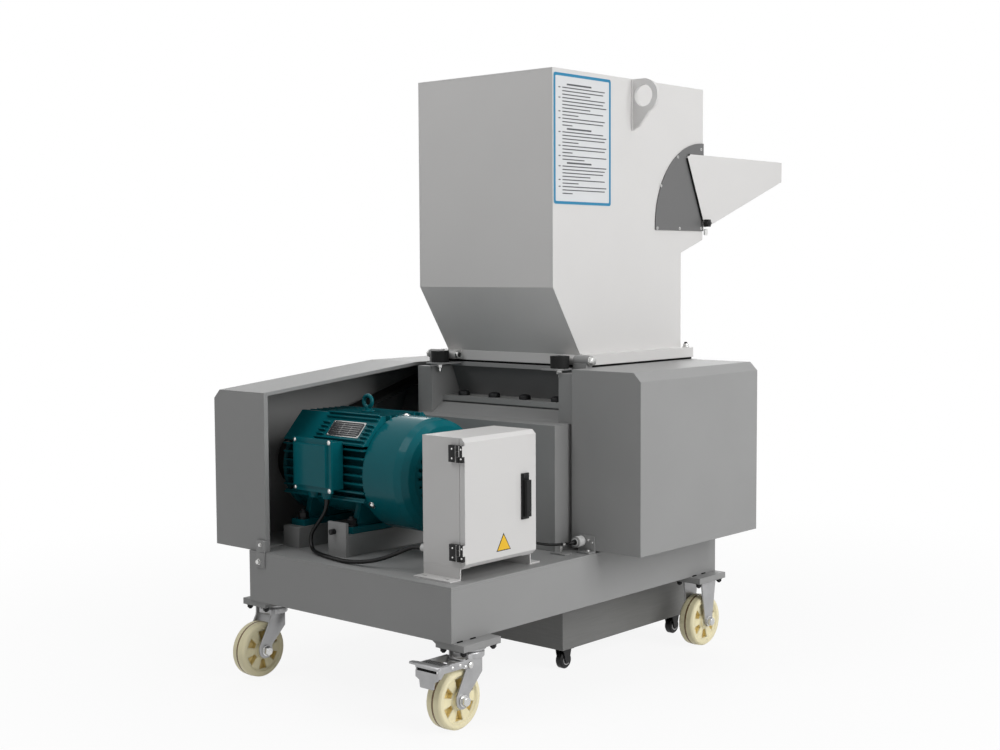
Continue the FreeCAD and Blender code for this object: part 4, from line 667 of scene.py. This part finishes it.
def dress_motor_slope():
    """Ribs on the motor's slope, and the rating plate without its words."""
    slope = Matrix.Translation((-0.1375, behind(0.1395), 0.5685)) @ Matrix.Rotation(0.8181, 4, "X")
    reach, field = 0.083, 0.060
    whole, left, right = (-reach, reach), (-reach, -field), (field, reach)
    ribs = bmesh.new()
    for spans, rows in (
        ((whole,), (-0.042, -0.031, 0.030, 0.041)),
        ((left, right), (-0.020, -0.009, 0.002, 0.013)),
    ):
        for start, end in spans:
            for v in rows:
                add_box(ribs, (start, v - 0.0013, -0.001), (end, v + 0.0013, 0.007), slope)
    piece("motor_ribs", ribs, "machine", MOTOR_PAINT, bevel=0.0007)

    low, high = (-0.0525, -0.0215), (0.0525, 0.0215)
    thick = 0.0007
    plate = bmesh.new()
    add_prism(plate, rounded(low, high, 0.003), thick, slope)
    for u in (-0.049, 0.049):
        for v in (-0.018, 0.018):
            place = slope @ Matrix.Translation((u, v, thick))
            add_lathe(plate, [(0, 0), (0.0021, 0), (0.0016, 0.0011), (0, 0.0014)], place, 14)
    piece("rating_plate", plate, "machine", BOLT)
    face = 0.0009
    dark = bmesh.new()
    add_prism(dark, rounded(low, high, 0.0015, 0.0022), face, slope)
    piece("rating_plate_field", dark, "machine", NAMEPLATE)
    rules = bmesh.new()
    top, pitch, half = 0.0145, 0.0058, 0.0003
    for row in range(6):
        v = top - pitch * row
        add_box(rules, (-0.044, v - half, face), (0.044, v + half, 0.0011), slope)
    for u, end in ((-0.0145, top), (0.0145, 0.0087)):
        add_box(rules, (u - half, -top, face), (u + half, end, 0.0011), slope)
    piece("rating_plate_rules", rules, "machine", BOLT)


def dress_terminal_box():
    """Lid screws in the four corners and the cast nuts round the glands."""
    low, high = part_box("terminal_box")
    seat = low.y + 0.006
    inset, boss = 0.006, 0.0006
    screws = bmesh.new()
    for x in (low.x + inset, high.x - inset):
        for z in (low.z + inset, high.z - inset):
            add_disc(screws, facing((0, -1, 0), (x, seat, z)), 0.0052, boss, steps=20)
            add_pan_screw(screws, (x, seat - boss, z), (0, -1, 0), 0.004)
    piece("lid_screws", screws, "machine", BOLT)
    nuts = bmesh.new()
    seals = bmesh.new()
    nut = 0.0125
    dome = [(0.0112, nut), (0.0108, 0.0155), (0.0094, 0.0178), (0.0052, 0.0178), (0.0052, nut)]
    for x in (-0.150, -0.194):
        place = facing((0, 0, -1), (x, behind(0.090), low.z + 0.0005))
        add_prism(nuts, circle(0.0132, 6), nut, place)
        add_lathe(nuts, dome + [dome[0]], place, 28)
        add_lathe(seals, [(0, 0.0172), (0.0052, 0.0172), (0.0050, 0.0186), (0, 0.0186)], place)
    piece("gland_nuts", nuts, "machine", MOTOR_PAINT, bevel=0.0007)
    piece("gland_seals", seals, "machine", GASKET)


def dress_sign(face):
    """A bare warning triangle on the door."""
    y, base, apex, half = behind(0.1785), 0.340, 0.377, 0.0225
    inset = 0.0018
    reach = half - 1.7 * inset
    edge = bmesh.new()
    add_prism(edge, [(y - half, base), (y + half, base), (y, apex)], 0.0004, outward(1, face))
    piece("sign_edge", edge, "cabinet_door", BLACK_PLASTIC)
    inner = [(y - reach, base + inset), (y + reach, base + inset), (y, apex - 2 * inset)]
    field = bmesh.new()
    add_prism(field, inner, 0.0006, outward(1, face))
    piece("sign_face", field, "cabinet_door", YELLOW)


def dress_door_hinges(face):
    """Black covers over both leaves of each hinge, with three knuckles on the pin."""
    pin_x, pin_y = JOINTS["cabinet_door_swing"]["pos_m"][:2]
    shell_low, shell_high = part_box("cabinet_shell")
    covers = {"machine": bmesh.new(), "cabinet_door": bmesh.new()}
    screws = {"machine": bmesh.new(), "cabinet_door": bmesh.new()}
    leaves = (
        ("machine", pin_x - 0.024, pin_x - 0.005, 0.0043),
        ("cabinet_door", pin_x + 0.0055, face, 0.0033),
    )
    knuckles = (("machine", -0.0178), ("cabinet_door", -0.0058), ("machine", 0.0062))
    half = 0.0175
    for z in (shell_low.z + 0.032, shell_high.z - 0.032):
        for body, start, end, proud in leaves:
            front = pin_y - proud
            high = (end - 0.0002, pin_y + 0.0038, z + half)
            add_box(covers[body], (start, front, z - half), high)
            for dz in (-0.0098, 0.0098):
                spot = ((start + end) / 2 + 0.0004, front, z + dz)
                add_pan_screw(screws[body], spot, (0, -1, 0), 0.0022)
        pin = Matrix.Translation((pin_x, pin_y, z))
        for body, low in knuckles:
            add_disc(covers[body], pin, 0.0046, low + 0.0116, low, 20)
    for body in covers:
        piece(f"hinge_covers_{body}", covers[body], body, BLACK_PLASTIC, bevel=0.0009)
        piece(f"hinge_screws_{body}", screws[body], body, BOLT)


def dress_cabinet():
    """The sign, the hinges, the handle's button and locks, and the bracket screws."""
    door_low, door_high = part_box("door_handle")
    face = door_low.x
    dress_sign(face)
    dress_door_hinges(face)

    middle = (door_low.y + door_high.y) / 2
    half, proud = 0.0088, 0.0065
    button = bmesh.new()
    low, high = (middle - half, door_high.z - 0.0125), (middle + half, door_high.z - 0.001)
    add_prism(button, rounded(low, high, 0.004, steps=5), proud, outward(1, face))
    piece("handle_button", button, "cabinet_door", BLACK_PLASTIC, bevel=0.0008)
    lock = bmesh.new()
    place = facing((1, 0, 0), (face + proud, middle, door_high.z - 0.0067))
    add_lathe(lock, [(0, 0), (0.0040, 0), (0.0038, 0.0006), (0, 0.0008)], place)
    place = facing((1, 0, 0), (door_high.x, middle, door_low.z + 0.016))
    add_lathe(lock, [(0, 0), (0.0034, 0), (0.0032, 0.0005), (0, 0.0006)], place, 20)
    piece("handle_lock", lock, "cabinet_door", BLACK_STEEL)

    screws = bmesh.new()
    low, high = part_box("cabinet_brackets")
    for x in (low.x + 0.017, high.x - 0.025):
        add_pan_screw(screws, (x, high.y - 0.014, DECK + 0.003), (0, 0, 1), 0.0062)
    piece("bracket_screws", screws, "machine", BOLT)


def dress_switch():
    """Ribs and a dark ring on the switch head, plate bolts, a cable clip and its foot."""
    low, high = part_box("limit_switch")
    wide, waist = 0.0122, 0.0117
    head = bmesh.new()
    profile = [(0.0062, 0.0), (0.0085, 0.0), (0.0104, 0.0022), (wide, 0.007)]
    for step in range(4):
        at = 0.009 + 0.003 * step
        profile += [(wide, at), (waist, at + 0.0005), (waist, at + 0.001), (wide, at + 0.0015)]
    profile += [(wide, 0.0235), (0.0062, 0.0235), (0.0062, 0.0)]
    place = facing((0, 1, 0), (0.278, low.y - 0.0008, DECK + 0.0245))
    add_lathe(head, profile, place, 32)
    piece("switch_cap", head, "machine", PALE_PLASTIC)
    ring = bmesh.new()
    nozzle = [(0.0033, -0.006), (0.0052, -0.006), (0.0060, 0.0008), (0.0033, 0.0008)]
    add_lathe(ring, [*nozzle, nozzle[0]], place)
    piece("switch_seal", ring, "machine", GASKET)

    bolts = bmesh.new()
    plate = high.y - 0.004
    for x, z in ((0.2988, DECK + 0.0286), (0.3085, DECK + 0.0236)):
        add_hex_bolt(bolts, (x, plate, z), (0, -1, 0), 0.006, 0.003, washer=False)
    add_hex_bolt(bolts, (0.304, plate - 0.011, DECK + 0.004), (0, 0, 1), 0.0075, 0.0035)
    piece("switch_bolts", bolts, "machine", BOLT)

    foot_top = DECK + 0.0025
    foot = bmesh.new()
    add_box(foot, (0.2395, behind(0.404), DECK), (0.2830, behind(0.428), foot_top))
    piece("clip_foot", foot, "machine", BASE_PAINT, bevel=0.0006)
    clip = bmesh.new()
    half = 0.0035
    x, y, z = 0.2752, behind(0.4055), 0.3172
    band = [(0.0034, -half), (0.0048, -half), (0.0048, half), (0.0034, half)]
    add_lathe(clip, [*band, band[0]], facing((0.15, 1, -0.03), (x, y, z)))
    add_box(clip, (x - 0.0062, y - half, foot_top), (x - 0.0048, y + half, z))
    piece("cable_clip", clip, "machine", BOLT)


# Casters and bin
def dress_casters():
    """Axle nuts, ball-race rings, the bolts of each top plate and painted shade in its slots."""
    for name, body, joint in (
        ("right", "right_swivel_fork", "front_right_wheel_spin"),
        ("left", "left_swivel_fork", "front_left_wheel_spin"),
        ("rear_right", "machine", "rear_right_wheel_spin"),
        ("rear_left", "machine", "rear_left_wheel_spin"),
    ):
        x, y, z = JOINTS[joint]["pos_m"]
        nuts = bmesh.new()
        for way in (1, -1):
            spot = (x + way * 0.028, y, z)
            add_hex_bolt(nuts, spot, (way, 0, 0), 0.0185, 0.0095, spin=0.35)
        piece(f"axle_nuts_{name}", nuts, body, BOLT, bevel=0.0005)

    rings = bmesh.new()
    bolts = bmesh.new()
    under = 0.163  # the plates' underside
    swivels = ("right_caster_swivel", "left_caster_swivel")
    race = [(0.0278, 0), (0.0352, 0), (0.0368, 0.0016), (0.0368, 0.0042), (0.0352, 0.0058)]
    race += [(0.0278, 0.0058), race[0]]
    for joint in (*swivels, "rear_right_wheel_spin", "rear_left_wheel_spin"):
        x, y = JOINTS[joint]["pos_m"][:2]
        if joint in swivels:
            add_lathe(rings, race, Matrix.Translation((x, y, under - 0.0059)), 40)
        for dx in (-0.028, 0.028):
            for dy in (-0.0445, 0.0445):
                spot = (x + dx, y + dy, under)
                add_hex_bolt(bolts, spot, (0, 0, -1), 0.012, 0.007, spin=dx * 40)
                add_stud(bolts, facing((0, 0, -1), spot), 0.004, 0.003, 0.0115)
    piece("race_rings", rings, "machine", ZINC)
    piece("caster_bolts", bolts, "machine", BLACK_STEEL)

    # Painted shade: dark rods standing in for the shade inside the plates' slots.
    slot_shadows = bmesh.new()
    half, z = 0.008, 0.177
    for side in (1, -1):
        x = side * 0.315
        for pad in (behind(0.060), behind(0.901)):
            for y in (pad - 0.036, pad + 0.003):
                add_tube(slot_shadows, [(x, y - half, z), (x, y + half, z)], 0.0024)
    piece("pad_slots", slot_shadows, "machine", GASKET)


def make_swivel_forks():
    """Pressed swivel forks: a domed crown and two narrow legs, each with a folded front edge."""
    forks = (
        ("right_swivel_fork", "right_caster_swivel", "front_right_wheel_spin"),
        ("left_swivel_fork", "left_caster_swivel", "front_left_wheel_spin"),
    )
    brake = JOINTS["brake_pedal_press"]["pos_m"]
    low = 0.1405
    dome = [(0.0275, low), (0.031, low), (0.033, 0.143), (0.033, 0.1525), (0.0305, 0.1562)]
    for fork, swivel, spin in forks:
        x, y = JOINTS[swivel]["pos_m"][:2]
        axle = JOINTS[spin]["pos_m"]
        bm = bmesh.new()
        add_lathe(bm, [(0, low), *dome, (0, 0.1562)], Matrix.Translation((x, y, 0)), 36)
        foot = []
        for at in range(9):
            angle = math.pi * (1 + at / 8)
            foot.append((axle[1] + 0.019 * math.cos(angle), axle[2] + 0.018 * math.sin(angle)))
        front, rear, crown = y - 0.03, y + 0.012, 0.1535
        bend = [(front, 0.136), (axle[1] - 0.0185, axle[2] + 0.012)]
        leg = [(front, crown), *bend, *foot, (axle[1] + 0.0185, axle[2] + 0.010)]
        leg += [(rear, 0.112), (rear, crown)]
        inner = front + 0.0028
        fold = [(front, 0.140), *bend, (bend[1][0] + 0.0028, bend[1][1]), (inner, 0.1365)]
        fold.append((inner, 0.140))
        for side in (1, -1):
            add_prism(bm, leg, 0.0032, outward(side, x + side * 0.0242))
            add_prism(bm, fold, 0.0035, outward(side, x + side * 0.0245))
        add_disc(bm, facing((1, 0, 0), (x, *axle[1:])), 0.006, 0.029, -0.029, 16)
        if x > 0:
            add_disc(bm, facing((1, 0, 0), (x, *brake[1:])), 0.004, 0.033, -0.033, 16)
        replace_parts(piece(f"{fork}_pressed", bm, fork, ZINC, bevel=0.0007), fork)


def make_brake():
    """The total lock: riveted cheeks, a tread with a rolled lip and painted groove shadows, an
    apron and a lever.
    """
    low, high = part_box("brake_pedal")
    x = JOINTS["front_right_wheel_spin"]["pos_m"][0]
    _, y, z = JOINTS["brake_pedal_press"]["pos_m"]
    front = low.y + 0.015
    bm = bmesh.new()
    cheek = [
        (y + 0.008, z - 0.005), (y + 0.008, z + 0.006), (y - 0.004, 0.1455),
        (front - 0.006, 0.1455), (front - 0.0135, 0.138), (front - 0.0135, 0.122),
        (front - 0.006, 0.120), (front + 0.004, 0.130), (y - 0.012, 0.130), (y - 0.002, z - 0.007),
    ]
    for side in (1, -1):
        add_prism(bm, cheek, 0.0026, outward(side, x + side * 0.0287))
    tread = [
        (front - 0.015, 0.138), (front - 0.0145, 0.1425), (front - 0.012, 0.1452),
        (front - 0.008, 0.1459), (front + 0.02, 0.1459), (front + 0.02, 0.1436),
        (front - 0.008, 0.1436), (front - 0.0118, 0.1418), (front - 0.0125, 0.138),
    ]
    half = 0.0313
    add_prism(bm, tread, 2 * half, outward(1, x - half))
    apron = [(half, 0.1325), (half, 0.119), (0.021, 0.114), (0.019, 0.1), (0.0165, 0.0985)]
    apron += [(-u, v) for u, v in reversed(apron)]
    upright = Matrix(((1, 0, 0, x), (0, 0, 1, front - 0.0146), (0, 1, 0, 0), (0, 0, 0, 1)))
    add_prism(bm, apron, 0.0026, upright)
    paddle = [
        (-0.031, front - 0.004), (-0.031, front + 0.012), (-0.05, front + 0.012),
        (-0.0605, front + 0.009), (-0.063, front + 0.003), (-0.0605, front - 0.003),
        (-0.05, front - 0.004),
    ]
    add_prism(bm, paddle, 0.0042, Matrix.Translation((x, 0, 0.1372)))
    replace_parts(piece("brake_plates", bm, "brake_pedal", ZINC, bevel=0.0006), "brake_pedal")

    rivets = bmesh.new()
    dome = [(0, 0), (0.0072, 0), (0.0068, 0.0022), (0.0045, 0.0036), (0, 0.0040)]
    add_lathe(rivets, dome, facing((1, 0, 0), (high.x, y, z)))
    for dy, dz in ((-0.030, 0.005), (-0.052, 0.004), (-0.014, -0.001)):
        add_pan_screw(rivets, (x + 0.0312, y + dy, z + dz), (1, 0, 0), 0.0042)
    piece("brake_rivets", rivets, "brake_pedal", BOLT)
    # Painted shadow: dark strips for the grooves across the tread and for the slot between the
    # apron and the tread.
    dark = bmesh.new()
    left, right = x - 0.026, x + 0.026
    for step in range(5):
        start = front + 0.001 + 0.0042 * step
        add_box(dark, (left, start, 0.1455), (right, start + 0.0014, 0.1462))
    add_box(dark, (left, front - 0.0143, 0.1322), (right, front - 0.0125, 0.1382))
    piece("brake_grooves", dark, "brake_pedal", GASKET)


def dress_bin():
    """Hub rings on the bin's wheels and its folded top edge."""
    ring = [(0.0086, 0), (0.0112, 0), (0.0108, 0.0012), (0.009, 0.0012), (0.0086, 0)]
    for body in ("bin_front_wheels", "bin_rear_wheels"):
        y, z = JOINTS[f"{body}_spin"]["pos_m"][1:]
        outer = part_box(body)[1].x
        hubs = bmesh.new()
        for side in (1, -1):
            add_lathe(hubs, ring, facing((side, 0, 0), (side * outer, y, z)), 28)
        piece(f"hub_rings_{body}", hubs, body, STEEL)
    low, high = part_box("bin_sides")
    top = high.z
    brim = bmesh.new()
    for x in (low.x - 0.0002, high.x + 0.0002):
        add_tube(brim, [(x, low.y, top), (x, high.y, top)], 0.0018)
    for y in (low.y, high.y):
        add_tube(brim, [(low.x, y, top), (high.x, y, top)], 0.0018)
    piece("bin_brim", brim, "collection_bin", BRUSHED)


# Camera, floor and light
def make_camera():
    """The camera of the photograph: worked out from the machine's straight edges."""
    yaw = math.radians(41.3503)
    pitch = math.radians(-4.1626)
    roll = math.radians(-0.2982)
    level = math.cos(pitch)
    forward = Vector((-math.sin(yaw) * level, math.cos(yaw) * level, math.sin(pitch)))
    right = Vector((math.cos(yaw), math.sin(yaw), 0))
    up = right.cross(forward)
    tilted_right = right * math.cos(roll) + up * math.sin(roll)
    tilted_up = up * math.cos(roll) - right * math.sin(roll)
    data = bpy.data.cameras.new("camera")
    data.sensor_width = 36
    data.lens = 53.66
    data.clip_end = 60
    camera = bpy.data.objects.new("camera", data)
    bpy.context.scene.collection.objects.link(camera)
    turn = Matrix((tilted_right, tilted_up, -forward)).transposed().to_4x4()
    camera.matrix_world = Matrix.Translation((2.3344, behind(-2.1429), 0.933)) @ turn
    bpy.context.scene.camera = camera


def plain_rays(tree, strength):
    """How much of a surround is shown at its plain strength: to the camera, gloss and glass."""
    rays = tree.nodes.new("ShaderNodeLightPath")
    shown = worked(tree, "MAXIMUM", rays.outputs["Is Camera Ray"], rays.outputs["Is Glossy Ray"])
    shown = worked(tree, "MAXIMUM", shown, rays.outputs["Is Transmission Ray"])
    return worked(tree, "MULTIPLY", shown, strength)


# Studio: lamps as name, place, size and watts, and the point that they all face
LAMPS = (
    ("key", (3.7, 0.1, 2.1), 2.6, 99),
    ("fill", (-0.5, -2.0, 2.9), 1.4, 21),
    ("top", (0.2, 0.6, 4.2), 3.0, 46),
    ("back", (-2.6, 3.4, 2.8), 2.4, 42),
)
AIM = Vector((0, 0, 0.8))
FADE = (0.5, 2.4)  # metres from the origin between which the floor turns to plain white
NEAR_WHITE = 0.9
SURROUND = 0.18


def make_studio():
    """A plain pale floor, a white surround for camera and gloss, and soft lamps."""
    reach = 30
    corners = [(-reach, -reach, 0), (reach, -reach, 0), (reach, reach, 0), (-reach, reach, 0)]
    floor_mesh = bpy.data.meshes.new("floor")
    floor_mesh.from_pydata(corners, [], [(0, 1, 2, 3)])
    floor = bpy.data.objects.new("floor", floor_mesh)
    bpy.context.scene.collection.objects.link(floor)
    material = bpy.data.materials.new("floor")
    material.use_nodes = True
    tree = material.node_tree
    shader = tree.nodes["Principled BSDF"]
    shader.inputs["Base Color"].default_value = (0.8, 0.8, 0.8, 1)
    shader.inputs["Roughness"].default_value = 0.9
    shader.inputs["Specular IOR Level"].default_value = 0.1
    glow = tree.nodes.new("ShaderNodeEmission")
    blend = tree.nodes.new("ShaderNodeMixShader")
    place = tree.nodes.new("ShaderNodeTexCoord")
    away = tree.nodes.new("ShaderNodeVectorMath")
    away.operation = "LENGTH"
    tree.links.new(place.outputs["Object"], away.inputs[0])
    share = tree.nodes.new("ShaderNodeMapRange")
    share.interpolation_type = "SMOOTHSTEP"
    share.inputs["From Min"].default_value = FADE[0]
    share.inputs["From Max"].default_value = FADE[1]
    share.inputs["To Min"].default_value = NEAR_WHITE
    tree.links.new(away.outputs["Value"], share.inputs["Value"])
    tree.links.new(plain_rays(tree, share.outputs["Result"]), blend.inputs["Fac"])
    tree.links.new(shader.outputs["BSDF"], blend.inputs[1])
    tree.links.new(glow.outputs["Emission"], blend.inputs[2])
    tree.links.new(blend.outputs["Shader"], tree.nodes["Material Output"].inputs["Surface"])
    floor_mesh.materials.append(material)

    world = bpy.data.worlds.new("surround")
    bpy.context.scene.world = world
    world.use_nodes = True
    tree = world.node_tree
    back = tree.nodes["Background"]
    back.inputs["Color"].default_value = (0.97, 0.985, 1, 1)
    back.inputs["Strength"].default_value = SURROUND
    seen = tree.nodes.new("ShaderNodeBackground")
    seen.inputs["Color"].default_value = (1, 1, 1, 1)
    pick = tree.nodes.new("ShaderNodeMixShader")
    tree.links.new(plain_rays(tree, 1.0), pick.inputs["Fac"])
    tree.links.new(back.outputs["Background"], pick.inputs[1])
    tree.links.new(seen.outputs["Background"], pick.inputs[2])
    tree.links.new(pick.outputs["Shader"], tree.nodes["World Output"].inputs["Surface"])

    for name, spot, size, power in LAMPS:
        data = bpy.data.lights.new(name, "AREA")
        data.size = size
        data.energy = power
        lamp = bpy.data.objects.new(name, data)
        bpy.context.scene.collection.objects.link(lamp)
        lamp.location = spot
        lamp.rotation_euler = (AIM - Vector(spot)).to_track_quat("-Z", "Y").to_euler()
    bpy.context.scene.view_settings.view_transform = "Standard"


# Cables: routes as control points of a smooth spline, each with its distance behind the base front
MOTOR_CABLE = [
    (-0.150, 0.090, 0.415),
    (-0.150, 0.090, 0.391),
    (-0.179, 0.086, 0.355),
    (-0.193, 0.082, 0.336),
    (-0.195, 0.079, 0.320),
    (-0.1875, 0.075, 0.306),
    (-0.174, 0.069, 0.298),
    (-0.150, 0.058, 0.2975),
    (-0.110, 0.046, 0.297),
    (-0.070, 0.037, 0.2975),
    (-0.028, 0.032, 0.297),
    (0.020, 0.035, 0.301),
    (0.066, 0.044, 0.311),
    (0.106, 0.058, 0.328),
    (0.138, 0.074, 0.345),
    (0.164, 0.074, 0.345),
]
SWITCH_CABLE = [
    (0.258, 0.300, 0.331),
    (0.258, 0.320, 0.331),
    (0.262, 0.343, 0.326),
    (0.268, 0.369, 0.320),
    (0.274, 0.396, 0.3175),
    (0.278, 0.422, 0.3165),
    (0.278, 0.445, 0.3165),
]


def make_curve(name, route, bevel):
    """A smooth curve on a route, with a round section where the bevel isn't 0."""
    curve = bpy.data.curves.new(name, "CURVE")
    curve.dimensions = "3D"
    curve.bevel_depth = bevel
    curve.bevel_resolution = 5
    curve.resolution_u = 10
    curve.use_fill_caps = True
    spline = curve.splines.new("NURBS")
    spline.points.add(len(route) - 1)
    for point, (x, y, z) in zip(spline.points, route):
        point.co = (x, behind(y), z, 1)
    spline.order_u = 3
    spline.use_endpoint_u = True
    obj = bpy.data.objects.new(name, curve)
    bpy.context.scene.collection.objects.link(obj)
    return obj


def points_along(route):
    """Points of a route's own smooth spline, from its first end."""
    bare = make_curve("bare_route", route, 0.0)
    mesh = bpy.data.meshes.new_from_object(bare)
    points = [vertex.co.copy() for vertex in mesh.vertices]
    bpy.data.objects.remove(bare)
    bpy.data.meshes.remove(mesh)
    return points


def add_relief(bm, points, start, end, reach):
    """A ribbed sleeve that narrows along the first stretch of a cable."""
    steps, rib = 14, 0.0005
    lengths = [0.0]
    for first, second in zip(points, points[1:]):
        lengths.append(lengths[-1] + (second - first).length)
    rings = []
    for step in range(steps + 1):
        want = reach * step / steps
        at = next(k for k, length in enumerate(lengths[1:]) if length >= want)
        share = (want - lengths[at]) / (lengths[at + 1] - lengths[at])
        matrix = facing(points[at + 1] - points[at], points[at].lerp(points[at + 1], share))
        radius = start + (end - start) * step / steps - rib * (step % 2)
        rings.append(add_ring(bm, matrix, radius, 20))
    add_hose(bm, rings)


def make_cable(name, node, route, diameter, sleeves):
    """A lead on its route, with a tapered sleeve where it leaves each housing."""
    cable = make_curve(name, route, diameter / 2)
    cable.data.materials.append(JACKET)
    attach(cable, "machine")
    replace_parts(cable, node)
    points = points_along(route)
    for end, (start, finish, reach) in zip(("near", "far"), sleeves):
        bm = bmesh.new()
        add_relief(bm, points if end == "near" else points[::-1], start, finish, reach)
        piece(f"{name}_sleeve_{end}", bm, "machine", JACKET)


def make_leads():
    """Both cables, with the two end radii and the length of each sleeve."""
    sleeves = ((0.0066, 0.0049, 0.026), (0.0068, 0.0049, 0.024))
    make_cable("motor_lead", "motor_cable", MOTOR_CABLE, 0.009, sleeves)
    sleeves = ((0.0052, 0.0034, 0.022), (0.0050, 0.0034, 0.02))
    make_cable("switch_lead", "switch_cable", SWITCH_CABLE, 0.006, sleeves)


make_camera()
make_studio()
make_leads()
dress_hopper()
dress_tray()
dress_guard()
dress_chamber()
dress_hinges()
dress_motor()
dress_terminal_box()
dress_cabinet()
dress_switch()
dress_casters()
make_swivel_forks()
make_brake()
dress_bin()
